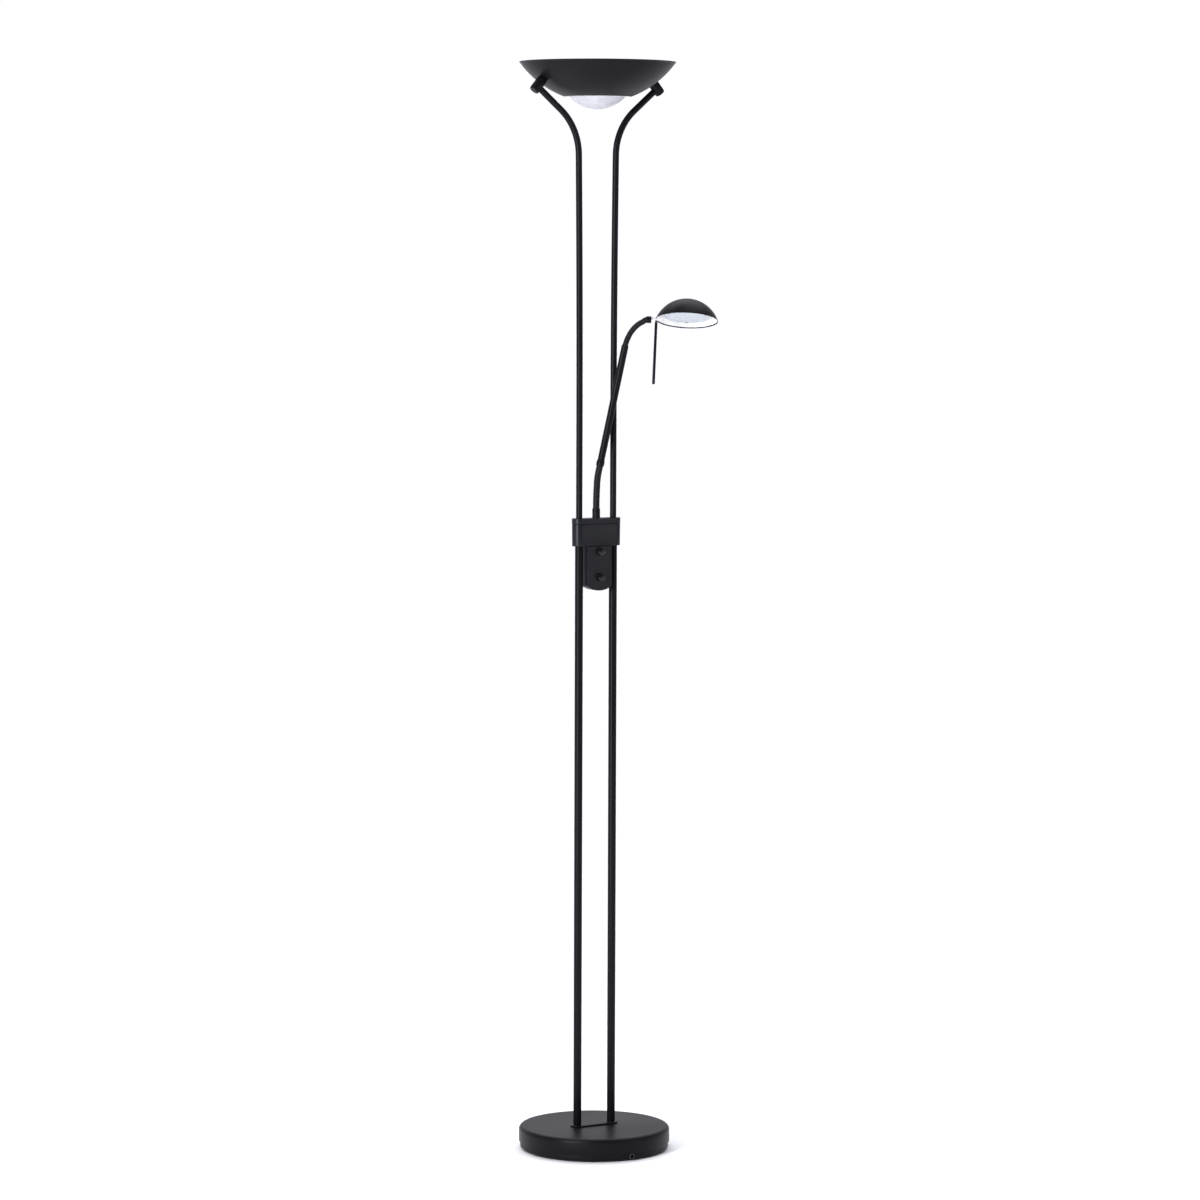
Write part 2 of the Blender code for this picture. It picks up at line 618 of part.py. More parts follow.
def chain(start, leans, steps):
    places = [start]
    for lean, step in zip(leans, steps):
        places.append(walk(places[-1], lean, step))
    return places


def neck_link(name, start, end, radius, rounded, pivot):
    """A solid length of neck. Its rounded ends stop a gap short of the joint they turn about."""
    low, high = in_arm(*start), in_arm(*end)
    length = (high - low).length
    foot = [(0, GAP), (radius, GAP)]
    if rounded[0]:
        foot = arc((0, radius + GAP), radius, -90, 0, 4)
    head = [(radius, length - GAP), (0, length - GAP)]
    if rounded[1]:
        head = arc((0, length - radius - GAP), radius, 0, 90, 4)
    outline = [(0, foot[0][1])] + foot[1:] + head[:-1] + [(0, head[-1][1])]
    add_object(name, turned(outline, 16, aim(low, high - low)), BLACK, 0.55, pivot=pivot)


def make_arm():
    neck_foot = (0, COLLAR_TOP + 0.0027)
    lower = chain((0, PIVOT_Z), LOWER_LEANS[1:], [LOWER_NECK_STEP, LOWER_NECK_STEP, LAST_LOWER_STEP])
    tube_ends = (lower[-1], walk(lower[-1], LOWER_LEANS[-1], ARM_TUBE_LENGTH))
    upper = chain(tube_ends[1], UPPER_LEANS, UPPER_STEPS)
    add_pivot("arm_swivel", (0, 0, COLLAR_TOP))
    last = "arm_swivel"
    for i, place in enumerate(lower[:3], 1):
        add_pivot(f"lower_neck_bend_{i}", in_arm(*place), last)
        last = f"lower_neck_bend_{i}"
    for i, place in enumerate(upper[1:4], 1):
        add_pivot(f"upper_neck_bend_{i}", in_arm(*place), last)
        last = f"upper_neck_bend_{i}"
    add_pivot("head_roll", in_arm(FERRULE_SPAN[1], STEM_Z), last)
    lower_pivots = ["arm_swivel"] + [f"lower_neck_bend_{i}" for i in (1, 2, 3)]
    upper_pivots = ["lower_neck_bend_3"] + [f"upper_neck_bend_{i}" for i in (1, 2, 3)]
    make_arm_root()
    stations = [neck_foot] + lower
    for i, pivot in enumerate(lower_pivots):
        neck_link(f"lower_neck_{i + 1}", stations[i], stations[i + 1], LOWER_NECK_RADIUS,
                  (i > 0, i < 3), pivot)
    for i, pivot in enumerate(upper_pivots):
        neck_link(f"upper_neck_{i + 1}", upper[i], upper[i + 1], UPPER_NECK_RADIUS,
                  (i > 0, True), pivot)
    make_arm_tube(*tube_ends)
    make_head_ferrule()


def make_arm_root():
    stud = [(0.0025, 1.0388), (0.007, 1.0388), (0.007, COLLAR_SPLIT), (0.004, COLLAR_SPLIT)]
    stud += [(0.004, COLLAR_TOP + 0.0022), (0.0025, COLLAR_TOP + 0.0022)]
    add_object("arm_pivot", turned(stud, 20, closed=True), STEEL, 0.35, 1.0, "arm_swivel")
    low = COLLAR_TOP + GAP
    bore, outside = LOWER_NECK_RADIUS + GAP, ROOT_FERRULE_RADIUS
    cup = [(0.0043, low), (outside, low), (outside, 1.0675), (outside - 0.0003, 1.0680)]
    cup += [(bore, 1.0680), (bore, low + 0.0024), (0.0043, low + 0.0024)]
    add_object("arm_ferrule", turned(cup, 24, closed=True), BLACK, 0.4, pivot="arm_swivel")


def make_arm_tube(low, high):
    start, end = in_arm(*low), in_arm(*high)
    length = (end - start).length - GAP
    lip = ARM_TUBE_RADIUS + 0.0008
    outline = [(ARM_TUBE_BORE, 0), (lip - 0.0003, 0), (lip, 0.0004), (lip, 0.0080)]
    outline += [(ARM_TUBE_RADIUS, 0.0090), (ARM_TUBE_RADIUS, length - 0.0005)]
    outline += [(ARM_TUBE_RADIUS - 0.0005, length), (ARM_TUBE_BORE, length)]
    frame = aim(start, end - start)
    add_object("arm_tube", turned(outline, 20, frame, closed=True), BLACK, 0.4,
               pivot="lower_neck_bend_3")


def make_head_ferrule():
    along = aim(in_arm(0, FERRULE_Z), in_arm(1, FERRULE_Z) - in_arm(0, FERRULE_Z))
    near, far = FERRULE_SPAN
    outline = [(0, near), (FERRULE_RADIUS - 0.0006, near), (FERRULE_RADIUS, near + 0.0006)]
    outline += [(FERRULE_RADIUS, far - 0.0005), (FERRULE_RADIUS - 0.0005, far), (0, far)]
    ferrule = add_object("head_ferrule", turned(outline, 20, along), BLACK, 0.4,
                         pivot="upper_neck_bend_3")
    stem = aim(in_arm(0, STEM_Z), in_arm(1, STEM_Z) - in_arm(0, STEM_Z))
    boolean(ferrule, rod(STEM_RADIUS + GAP, near + 0.0015, far + 0.002, 16, stem),
            pivot="upper_neck_bend_3")


# ---- Reading head ----

HEAD = (Matrix.Translation(in_arm(*HEAD_CENTRE)) @ ARM
        @ Matrix.Rotation(HEAD_TILT, 4, "Y") @ Matrix.Rotation(HEAD_ROLL, 4, "X"))


def head_sphere_drop():
    """How far the shade's sphere centre lies below the rim plane."""
    return math.sqrt(SHADE_SPHERE ** 2 - SHADE_RIM ** 2)


def make_shade():
    drop = head_sphere_drop()
    outer = sphere_zone(SHADE_SPHERE, -drop, 0, SHADE_SPHERE - drop, 8)
    inner = sphere_zone(SHADE_SPHERE - SHADE_WALL, -drop, 0, SHADE_SPHERE - SHADE_WALL - drop, 8)
    outline = outer[::-1] + inner
    outline[0] = (0, outline[0][1])
    outline[-1] = (0, outline[-1][1])
    shade = add_object("reading_shade", turned(outline, 32, HEAD), BLACK, 0.4, pivot="head_roll")
    boolean(shade, block((-0.055, -0.0026, -0.002), (-0.047, 0.0026, 0.0044), HEAD),
            pivot="head_roll")


def make_head_block():
    drop = head_sphere_drop()
    body = add_object("head_block", block((-0.052, -0.0060, -0.0006), (-0.0385, 0.0060, 0.009),
                      HEAD), (0.8, 0.8, 0.8), 0.5, pivot="head_roll")
    boolean(body, block((-0.048, -0.0060, 0.0085), (-0.033, 0.0060, 0.019), HEAD), "UNION",
            "head_roll")
    inside = SHADE_SPHERE - SHADE_WALL - 0.0008
    trim = turned([(0, -0.08 - drop), (inside, -0.08 - drop)] + arc((0, -drop), inside, 0, 90, 12),
                  48, HEAD)
    boolean(body, trim, "INTERSECT", "head_roll")
    stem = aim(in_arm(0, STEM_Z), in_arm(1, STEM_Z) - in_arm(0, STEM_Z))
    boolean(body, rod(STEM_RADIUS, FERRULE_SPAN[0] + 0.002, 0.102, 16, stem), "UNION", "head_roll")
    boolean(body, block((-0.0530, -0.0030, -0.0024), (-0.0395, 0.0030, -0.0003), HEAD), "UNION",
            "head_roll")


def make_reading_lamp():
    holder = block((-0.0327, -0.0055, 0.010), (-0.022, 0.0055, 0.019), HEAD, bevel=0.001)
    holder = add_object("reading_lampholder", holder, (0.85, 0.84, 0.8), 0.6, pivot="head_roll")
    axis = HEAD @ aim((-0.0217, 0, 0.0145), (1, 0, 0))
    outline = [(0, 0), (0.0040, 0), (0.0045, 0.003)]
    outline += arc((0, 0.018), 0.0055, 0, 90, 4)
    outline[-1] = (0, outline[-1][1])
    add_object("reading_bulb", turned(outline, 16, axis), (0.9, 0.9, 0.9), 0.05, pivot="head_roll")
    disc = rod(GLASS_RADIUS, GLASS_HEIGHT, GLASS_HEIGHT + GLASS_THICK, 40, HEAD)
    add_object("filter_glass", disc, (0.8, 0.86, 0.9), 0.3, pivot="head_roll")


def make_clips():
    """Bent spring clips: a leaf under the glass, a riser at its edge and a leaf to the wall."""
    low = GLASS_HEIGHT - GAP
    edge = GLASS_RADIUS + GAP
    outline = [(GLASS_RADIUS - CLIP_LEAF, low - CLIP_THICK), (edge + CLIP_THICK, low - CLIP_THICK)]
    outline += [(edge + CLIP_THICK, CLIP_TOP - CLIP_THICK), (CLIP_REACH, CLIP_TOP - CLIP_THICK)]
    outline += [(CLIP_REACH, CLIP_TOP), (edge, CLIP_TOP), (edge, low), (GLASS_RADIUS - CLIP_LEAF, low)]
    for name, bearing in CLIP_BEARINGS.items():
        turn_to = Matrix.Rotation(math.radians(bearing), 4, "Z")
        clip = slab(outline, -CLIP_HALF_WIDTH, CLIP_HALF_WIDTH)
        bmesh.ops.transform(clip, matrix=HEAD @ turn_to, verts=clip.verts)
        add_object("glass_clip_" + name, clip, STEEL, 0.35, 1.0, "head_roll")


def make_handle():
    top = -0.0024 - GAP
    bottom = -HANDLE_LENGTH
    grip_top, seat = bottom + GRIP_LENGTH, bottom + HANDLE_SEAT
    frame = HEAD @ Matrix.Translation((HANDLE_U, 0, 0))
    add_object("handle_rod", rod(HANDLE_RADIUS, seat, top, 16, frame), BLACK, 0.4,
               pivot="head_roll")
    bore = HANDLE_RADIUS + GAP
    wall = bore + 0.0003
    outline = [(0, bottom), (GRIP_RADIUS - 0.001, bottom), (GRIP_RADIUS, bottom + 0.001)]
    outline += [(wall, grip_top), (bore, grip_top), (bore, seat - GAP), (0, seat - GAP)]
    add_object("handle_grip", turned(outline, 16, frame), BLACK, 0.6, pivot="head_roll")


make_pad_and_tray()
make_weight()
make_gland()
make_cover()
make_foot()
make_column()
make_collar()
make_dimmer()
make_knobs()
make_bowl()
make_dish()
make_bosses()
make_lamp_gear()
make_arm()
make_shade()
make_head_block()
make_reading_lamp()
make_clips()
make_handle()
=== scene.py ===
import bisect
import math

import bmesh
import bpy
from mathutils import Matrix, Quaternion, Vector
from mathutils.geometry import interpolate_bezier


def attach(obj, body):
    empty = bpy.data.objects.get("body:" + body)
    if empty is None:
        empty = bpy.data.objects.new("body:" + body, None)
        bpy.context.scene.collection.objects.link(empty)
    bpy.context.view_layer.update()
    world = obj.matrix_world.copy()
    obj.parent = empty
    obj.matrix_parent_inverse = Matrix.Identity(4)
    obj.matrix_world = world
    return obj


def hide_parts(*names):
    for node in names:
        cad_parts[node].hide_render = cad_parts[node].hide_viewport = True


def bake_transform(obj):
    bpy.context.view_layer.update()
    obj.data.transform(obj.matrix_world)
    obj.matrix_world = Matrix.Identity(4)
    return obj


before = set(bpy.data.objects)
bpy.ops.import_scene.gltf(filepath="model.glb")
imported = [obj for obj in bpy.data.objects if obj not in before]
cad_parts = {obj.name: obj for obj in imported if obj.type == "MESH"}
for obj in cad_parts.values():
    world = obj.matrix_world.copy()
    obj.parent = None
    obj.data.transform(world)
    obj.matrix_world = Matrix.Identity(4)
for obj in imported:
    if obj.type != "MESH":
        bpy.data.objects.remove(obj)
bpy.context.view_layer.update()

# ---- Studio ----
# The lamp stands on a plain pale floor in soft, even light from large diffusers overhead, to the
# left and behind. The camera looks slightly down at it from the front left.

scene = bpy.context.scene
scene.view_settings.view_transform = "Standard"
CAMERA_PLACE = Vector((-3.588, -6.2282, 1.5001))
CAMERA_YAW, CAMERA_PITCH, CAMERA_LEAN = math.radians(60.0), math.radians(-4.641), math.radians(0.2)
LENS, SENSOR = 130.94, 36
camera_data = bpy.data.cameras.new("camera")
camera_data.lens = LENS
camera_data.sensor_width = SENSOR
camera_data.clip_end = 100
camera = bpy.data.objects.new("camera", camera_data)
scene.collection.objects.link(camera)
camera.location = CAMERA_PLACE
camera_way = Vector((math.cos(CAMERA_YAW), math.sin(CAMERA_YAW), math.tan(CAMERA_PITCH)))
camera.rotation_mode = "QUATERNION"
camera.rotation_quaternion = (camera_way.to_track_quat("-Z", "Y")
                              @ Quaternion((0, 0, 1), CAMERA_LEAN))
scene.camera = camera

world = bpy.data.worlds.new("studio")
scene.world = world
world.use_nodes = True
world_nodes, world_links = world.node_tree.nodes, world.node_tree.links
room = world_nodes["Background"]
room.inputs["Color"].default_value = (0.93, 0.93, 1.0, 1)
DARK_END, BRIGHT_END, BACKDROP_WHITE = 0.05, 0.88, 1.08
AWAY_FROM_CAMERA = (0.5, 0.866, 0.0)
direction = world_nodes.new("ShaderNodeTexCoord")
facing = world_nodes.new("ShaderNodeVectorMath")
facing.operation = "DOT_PRODUCT"
facing.inputs[1].default_value = AWAY_FROM_CAMERA
world_links.new(direction.outputs["Generated"], facing.inputs[0])
glow = world_nodes.new("ShaderNodeMapRange")
glow.inputs["From Min"].default_value = -1.0
glow.inputs["To Min"].default_value = DARK_END
glow.inputs["To Max"].default_value = BRIGHT_END
world_links.new(facing.outputs["Value"], glow.inputs["Value"])
backdrop = world_nodes.new("ShaderNodeMix")
backdrop.inputs["B"].default_value = BACKDROP_WHITE
rays = world_nodes.new("ShaderNodeLightPath")
world_links.new(rays.outputs["Is Camera Ray"], backdrop.inputs["Factor"])
world_links.new(glow.outputs["Result"], backdrop.inputs["A"])
world_links.new(backdrop.outputs["Result"], room.inputs["Strength"])


def add_light(name, kind, place, aim_at, power, size):
    """A soft light aimed at a point. Its size is in metres, or in degrees for the ceiling's."""
    data = bpy.data.lights.new(name, kind)
    data.energy = power
    data.color = (0.94, 0.95, 1.0)
    if kind == "AREA":
        data.shape = "RECTANGLE"
        data.size, data.size_y = size
    else:
        data.angle = math.radians(size[0])
    lamp = bpy.data.objects.new(name, data)
    scene.collection.objects.link(lamp)
    lamp.location = place
    lamp.rotation_euler = (Vector(aim_at) - Vector(place)).to_track_quat("-Z", "Y").to_euler()


add_light("ceiling_diffuser", "SUN", (0.6, 1.0, 4.0), (0, 0, 0), 2.3, (70, 70))
add_light("left_strip", "AREA", (-3.15, -1.53, 1.4), (0, 0, 1.0), 150, (0.40, 2.8))
add_light("right_box", "AREA", (1.75, -3.0, 1.4), (0, 0, 1.0), 7, (0.3, 0.35))

floor_bm = bmesh.new()
bmesh.ops.create_grid(floor_bm, x_segments=1, y_segments=1, size=60)
floor_mesh = bpy.data.meshes.new("floor")
floor_bm.to_mesh(floor_mesh)
floor_bm.free()
floor = bpy.data.objects.new("floor", floor_mesh)
scene.collection.objects.link(floor)
floor_paint = bpy.data.materials.new("floor_paint")
floor_paint.use_nodes = True
paint_shader = floor_paint.node_tree.nodes["Principled BSDF"]
paint_shader.inputs["Base Color"].default_value = (0.92, 0.92, 0.92, 1)
paint_shader.inputs["Roughness"].default_value = 0.8
floor_mesh.materials.append(floor_paint)


# ---- Foot pad ----
# A die-cut disc of dark felt-backed rubber, glued under the tray so that the steel doesn't mark
# the floor. Its nap is soft and matt.

def make_finish(name, dark, light, roughness, grain=(700, 0.00002), patches=12, metallic=0.0,
                specular=0.5):
    """A surface that shifts a little from dark to light in patches, with a fine grain on it."""
    material = bpy.data.materials.new(name)
    material.use_nodes = True
    nodes, links = material.node_tree.nodes, material.node_tree.links
    shader = nodes["Principled BSDF"]
    shader.inputs["Metallic"].default_value = metallic
    shader.inputs["Specular IOR Level"].default_value = specular
    place = nodes.new("ShaderNodeTexCoord")
    clouds = nodes.new("ShaderNodeTexNoise")
    clouds.inputs["Scale"].default_value = patches
    clouds.inputs["Detail"].default_value = 5
    links.new(place.outputs["Object"], clouds.inputs["Vector"])
    tint = nodes.new("ShaderNodeValToRGB")
    tint.color_ramp.elements[0].position = 0.35
    tint.color_ramp.elements[0].color = (*dark, 1)
    tint.color_ramp.elements[1].position = 0.65
    tint.color_ramp.elements[1].color = (*light, 1)
    links.new(clouds.outputs["Fac"], tint.inputs["Fac"])
    links.new(tint.outputs["Color"], shader.inputs["Base Color"])
    grit = nodes.new("ShaderNodeTexNoise")
    grit.inputs["Scale"].default_value = grain[0]
    grit.inputs["Detail"].default_value = 2
    links.new(place.outputs["Object"], grit.inputs["Vector"])
    spread = nodes.new("ShaderNodeMapRange")
    spread.inputs["From Min"].default_value = 0.3
    spread.inputs["From Max"].default_value = 0.7
    spread.inputs["To Min"].default_value = roughness[0]
    spread.inputs["To Max"].default_value = roughness[1]
    links.new(clouds.outputs["Fac"], spread.inputs["Value"])
    links.new(spread.outputs["Result"], shader.inputs["Roughness"])
    bump = nodes.new("ShaderNodeBump")
    bump.inputs["Strength"].default_value = 0.6
    bump.inputs["Distance"].default_value = grain[1]
    links.new(grit.outputs["Fac"], bump.inputs["Height"])
    links.new(bump.outputs["Normal"], shader.inputs["Normal"])
    return material


def dress(material, *nodes):
    """Gives finished CAD nodes their real surface."""
    for node in nodes:
        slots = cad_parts[node].data.materials
        slots.clear()
        slots.append(material)


felt = make_finish("felt_rubber", (0.02, 0.02, 0.021), (0.035, 0.035, 0.036), (0.9, 1.0),
                   (1400, 0.0002), 60, specular=0.2)
dress(felt, "base_pad")


# ---- Bottom tray ----
# Pressed from 1 mm sheet steel and powder coated satin black with the rest. It sits a little in
# under the cover's skirt, and its wall is notched at the front for the mains lead.

TRAY_RADIUS, TRAY_LOW, TRAY_TOP, TRAY_EDGE = 0.1236, 0.0018, 0.020, 0.004
SHEET = 0.001
NOTCH_HALF_WIDTH, NOTCH_TOP = 0.0049, 0.0126
ROUND_SIDES = 160


def arc(centre, radius, start, end, steps):
    """Points on an arc, with angles in degrees from the first axis towards the second."""
    angles = [math.radians(start + (end - start) * i / steps) for i in range(steps + 1)]
    return [(centre[0] + radius * math.cos(a), centre[1] + radius * math.sin(a)) for a in angles]


def turned(outline, sides, place=Matrix(), closed=False):
    """Turns an outline of radius and height round Z. Open outlines start and end on the axis."""
    bm = bmesh.new()
    verts = [bm.verts.new((r, 0, z)) for r, z in outline]
    pairs = list(zip(verts, verts[1:] + verts[:1]))
    edges = [bm.edges.new(pair) for pair in (pairs if closed else pairs[:-1])]
    bmesh.ops.spin(bm, geom=verts + edges, axis=(0, 0, 1), cent=(0, 0, 0), angle=math.tau,
                   steps=sides, use_merge=True)
    bmesh.ops.remove_doubles(bm, verts=bm.verts, dist=1e-7)
    bmesh.ops.recalc_face_normals(bm, faces=bm.faces)
    bmesh.ops.transform(bm, matrix=place, verts=bm.verts)
    return bm


def ring(outer, inner, low, high, sides=64, place=Matrix()):
    outline = [(outer, low), (outer, high), (inner, high), (inner, low)]
    return turned(outline, sides, place, closed=True)


def rod(radius, low, high, sides=48, place=Matrix()):
    return turned([(0, low), (radius, low), (radius, high), (0, high)], sides, place)


def box(low, high, place=Matrix()):
    low, high = Vector(low), Vector(high)
    bm = bmesh.new()
    bmesh.ops.create_cube(bm, size=1)
    bmesh.ops.scale(bm, vec=high - low, verts=bm.verts)
    bmesh.ops.translate(bm, vec=(low + high) / 2, verts=bm.verts)
    bmesh.ops.transform(bm, matrix=place, verts=bm.verts)
    return bm


def together(*bodies):
    """One bmesh that holds several separate bodies."""
    whole = bmesh.new()
    for body in bodies:
        mesh = bpy.data.meshes.new("body")
        body.to_mesh(mesh)
        body.free()
        whole.from_mesh(mesh)
        bpy.data.meshes.remove(mesh)
    return whole


def ease(bm, width, steps=2, over=35):
    """Rounds every edge that turns by more than the angle."""
    sharp = [edge for edge in bm.edges if edge.is_manifold
             and edge.calc_face_angle() > math.radians(over)]
    bmesh.ops.bevel(bm, geom=sharp, offset=width, offset_type="OFFSET", affect="EDGES",
                    segments=steps, profile=0.5, material=-1)
    return bm


def cut_away(body, tool):
    """The body without the room that the tool takes."""
    holders = []
    for bm in (body, tool):
        mesh = bpy.data.meshes.new("cut")
        bm.to_mesh(mesh)
        bm.free()
        holders.append(bpy.data.objects.new("cut", mesh))
        scene.collection.objects.link(holders[-1])
    cut = holders[0].modifiers.new("cut", "BOOLEAN")
    cut.solver = "EXACT"
    cut.object = holders[1]
    left = bmesh.new()
    left.from_object(holders[0], bpy.context.evaluated_depsgraph_get())
    for holder in holders:
        bpy.data.objects.remove(holder)
    return left


def add_piece(name, bm, finishes, body, slot, *nodes):
    """The finished piece, riding on its body in place of the CAD nodes."""
    bmesh.ops.recalc_face_normals(bm, faces=bm.faces)
    mesh = bpy.data.meshes.new(name)
    bm.to_mesh(mesh)
    bm.free()
    mesh.shade_smooth()
    mesh.set_sharp_from_angle(angle=math.radians(38))
    piece = bpy.data.objects.new(name, mesh)
    scene.collection.objects.link(piece)
    for finish in finishes:
        mesh.materials.append(finish)
    if body:
        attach(piece, body)
    if nodes:
        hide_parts(*nodes)
    return piece


powder_coat = make_finish("satin_powder_coat", (0.0042, 0.0041, 0.0053), (0.0056, 0.0055, 0.0069),
                          (0.36, 0.43), (1100, 0.00003), 9, specular=0.1)
tray_outline = [(0, TRAY_LOW)]
tray_outline += arc((TRAY_RADIUS - TRAY_EDGE, TRAY_LOW + TRAY_EDGE), TRAY_EDGE, -90, 0, 8)
tray_outline += [(TRAY_RADIUS, TRAY_TOP), (TRAY_RADIUS - SHEET, TRAY_TOP)]
tray_outline += arc((TRAY_RADIUS - TRAY_EDGE, TRAY_LOW + TRAY_EDGE), TRAY_EDGE - SHEET, 0, -90, 8)
tray_outline += [(0, TRAY_LOW + SHEET)]
notch = box((-NOTCH_HALF_WIDTH, -0.130, -0.001), (NOTCH_HALF_WIDTH, -0.116, NOTCH_TOP))
add_piece("tray_pressing", cut_away(turned(tray_outline, ROUND_SIDES), notch), [powder_coat],
          "stand", "satin_black_paint", "base_tray")


# ---- Ballast ----
# A cast-iron disc in the tray, which keeps the tall lamp from tipping. It is left as cast, with
# a groove underneath for the lead.

cast_iron = make_finish("cast_iron", (0.05, 0.046, 0.043), (0.11, 0.10, 0.095), (0.7, 0.9),
                        (260, 0.0004), 30, metallic=0.6)
dress(cast_iron, "base_weight")


# ---- Cord inlet ----
# A snap-in rubber grommet in the tray's notch, with a soft lip either side of the sheet. The
# mains lead would pass through it.

INLET_Z, INLET_FACE_Y, INLET_BORE = 0.0077, -0.117, 0.0032


def aim(place, direction):
    """A frame at the place whose Z runs along the direction."""
    return Matrix.Translation(place) @ Vector(direction).to_track_quat("Z", "Y").to_matrix().to_4x4()


FRONT = Vector((0, -1, 0))
grommet_rubber = make_finish("grommet_rubber", (0.018, 0.018, 0.018), (0.03, 0.03, 0.03),
                             (0.5, 0.62), (900, 0.00005), 80, specular=0.35)
grommet_outline = [(INLET_BORE, 0), (0.0041, 0), (0.0043, 0.0004), (0.0043, 0.0032),
                   (0.0046, 0.0040), (0.00475, 0.0060), (0.00475, 0.0085)]
grommet_outline += arc((0.0040, 0.0088), 0.0007, 0, 90, 5) + [(INLET_BORE, 0.0095)]
grommet = turned(grommet_outline, 48, aim((0, INLET_FACE_Y, INLET_Z), FRONT), closed=True)
add_piece("inlet_grommet", grommet, [grommet_rubber], "stand", "grommet_rubber", "cord_gland")


# ---- Base cover ----
# A round pressing of 1 mm steel with a well-rounded shoulder and a short skirt, coated satin
# black. Its skirt is folded smooth at the bottom.

COVER_RADIUS, COVER_TOP, COVER_BOTTOM, COVER_EDGE = 0.1254, 0.0387, 0.0128, 0.0065
TUBE_X = 0.03225
BOLT_HOLE, HOLE_LOW, HOLE_HIGH = 0.0053, 0.034, 0.045
shoulder = (COVER_RADIUS - COVER_EDGE, COVER_TOP - COVER_EDGE)
cover_outline = [(0, COVER_TOP)] + arc(shoulder, COVER_EDGE, 90, 0, 12)
cover_outline += [(COVER_RADIUS, COVER_BOTTOM + 0.0007), (COVER_RADIUS - 0.0003, COVER_BOTTOM),
                  (COVER_RADIUS - SHEET, COVER_BOTTOM)]
cover_outline += arc(shoulder, COVER_EDGE - SHEET, 0, 90, 12) + [(0, COVER_TOP - SHEET)]
tube_sides = [Matrix.Translation((x, 0, 0)) for x in (-TUBE_X, TUBE_X)]
bolt_holes = together(*[rod(BOLT_HOLE, HOLE_LOW, HOLE_HIGH, 48, side) for side in tube_sides])
add_piece("cover_pressing", cut_away(turned(cover_outline, ROUND_SIDES), bolt_holes), [powder_coat],
          "stand", "satin_black_paint", "base_cover")


# ---- Foot plate and its fixings ----
# A flat steel plate with round ends on top of the cover, a zinc-plated bar under it, and two
# hollow bolts that pull the tubes, plate, cover and bar together.

PLATE_LOW, PLATE_THICK, PLATE_END_RADIUS = 0.039, 0.0021, 0.0114


def stadium_block(end_radius, low, high, sides=96):
    """A straight-sided block with half-round ends about the two tube centres."""
    bm = bmesh.new()
    half_step = Matrix.Rotation(math.pi / sides, 4, "Z")
    bmesh.ops.create_circle(bm, cap_ends=True, radius=end_radius, segments=sides, matrix=half_step)
    for sign in (-1, 1):
        end = [vert for vert in bm.verts if vert.co.x * sign > 0]
        bmesh.ops.translate(bm, vec=(sign * TUBE_X, 0, low), verts=end)
    raised = bmesh.ops.extrude_face_region(bm, geom=bm.faces[:])["geom"]
    top = [part for part in raised if isinstance(part, bmesh.types.BMVert)]
    bmesh.ops.translate(bm, vec=(0, 0, high - low), verts=top)
    bmesh.ops.recalc_face_normals(bm, faces=bm.faces)
    return bm


plate = ease(stadium_block(PLATE_END_RADIUS, PLATE_LOW, PLATE_LOW + PLATE_THICK), 0.0005, 3)
bolt_holes = together(*[rod(BOLT_HOLE, HOLE_LOW, HOLE_HIGH, 48, side) for side in tube_sides])
add_piece("foot_plate_plain", cut_away(plate, bolt_holes), [powder_coat], "stand",
          "satin_black_paint", "foot_plate")
zinc = make_finish("zinc_plate", (0.42, 0.42, 0.41), (0.58, 0.58, 0.57), (0.28, 0.42),
                   (500, 0.00002), 90, metallic=1.0)
dress(zinc, "clamp_bar", "foot_bolt_left", "foot_bolt_right", "arm_pivot")


# ---- Column tubes ----
# Two drawn steel tubes side by side, each in two lengths: a wider one from the foot to the
# collar, and a slimmer one that slips into it and curves outwards to the bowl.

LOWER_RADIUS, LOWER_BORE, LOWER_FOOT, LOWER_TOP = 0.0067, 0.00565, 0.0414, 1.030
UPPER_RADIUS, UPPER_BORE, UPPER_FOOT = 0.0053, 0.0043, 0.985
SPLAY_START, SPLAY_END, SPLAY, BEND_RADIUS = 1.200, 1.6483, 0.00275, 0.097
BOWL_CENTRE_Z = 1.8909
BOSS_ANGLE = math.radians(40.4)
BOSS_TUBE = 0.1744
SPLAY_STEPS, BEND_STEPS = 24, 40


def bend_along(bm, points):
    """Carries a straight body that stands on the floor of its own Z along a line of points."""
    lengths = [0.0]
    for before, after in zip(points, points[1:]):
        lengths.append(lengths[-1] + (after - before).length)
    ways = [(after - before).normalized() for before, after in zip(points, points[1:])]
    ways = [(a + b).normalized() for a, b in zip(ways[:1] + ways, ways + ways[-1:])]
    up, frames = Vector((0, 0, 1)), {}
    for vert in bm.verts:
        height = round(vert.co.z, 7)
        if height not in frames:
            i = min(max(bisect.bisect_right(lengths, height) - 1, 0), len(points) - 2)
            share = (height - lengths[i]) / (lengths[i + 1] - lengths[i])
            lean = up.rotation_difference(ways[i].lerp(ways[i + 1], share)).to_matrix().to_4x4()
            frames[height] = Matrix.Translation(points[i].lerp(points[i + 1], share)) @ lean
        vert.co = frames[height] @ Vector((vert.co.x, vert.co.y, 0))
    bmesh.ops.recalc_face_normals(bm, faces=bm.faces)
    return bm


def line_length(points):
    return sum((after - before).length for before, after in zip(points, points[1:]))


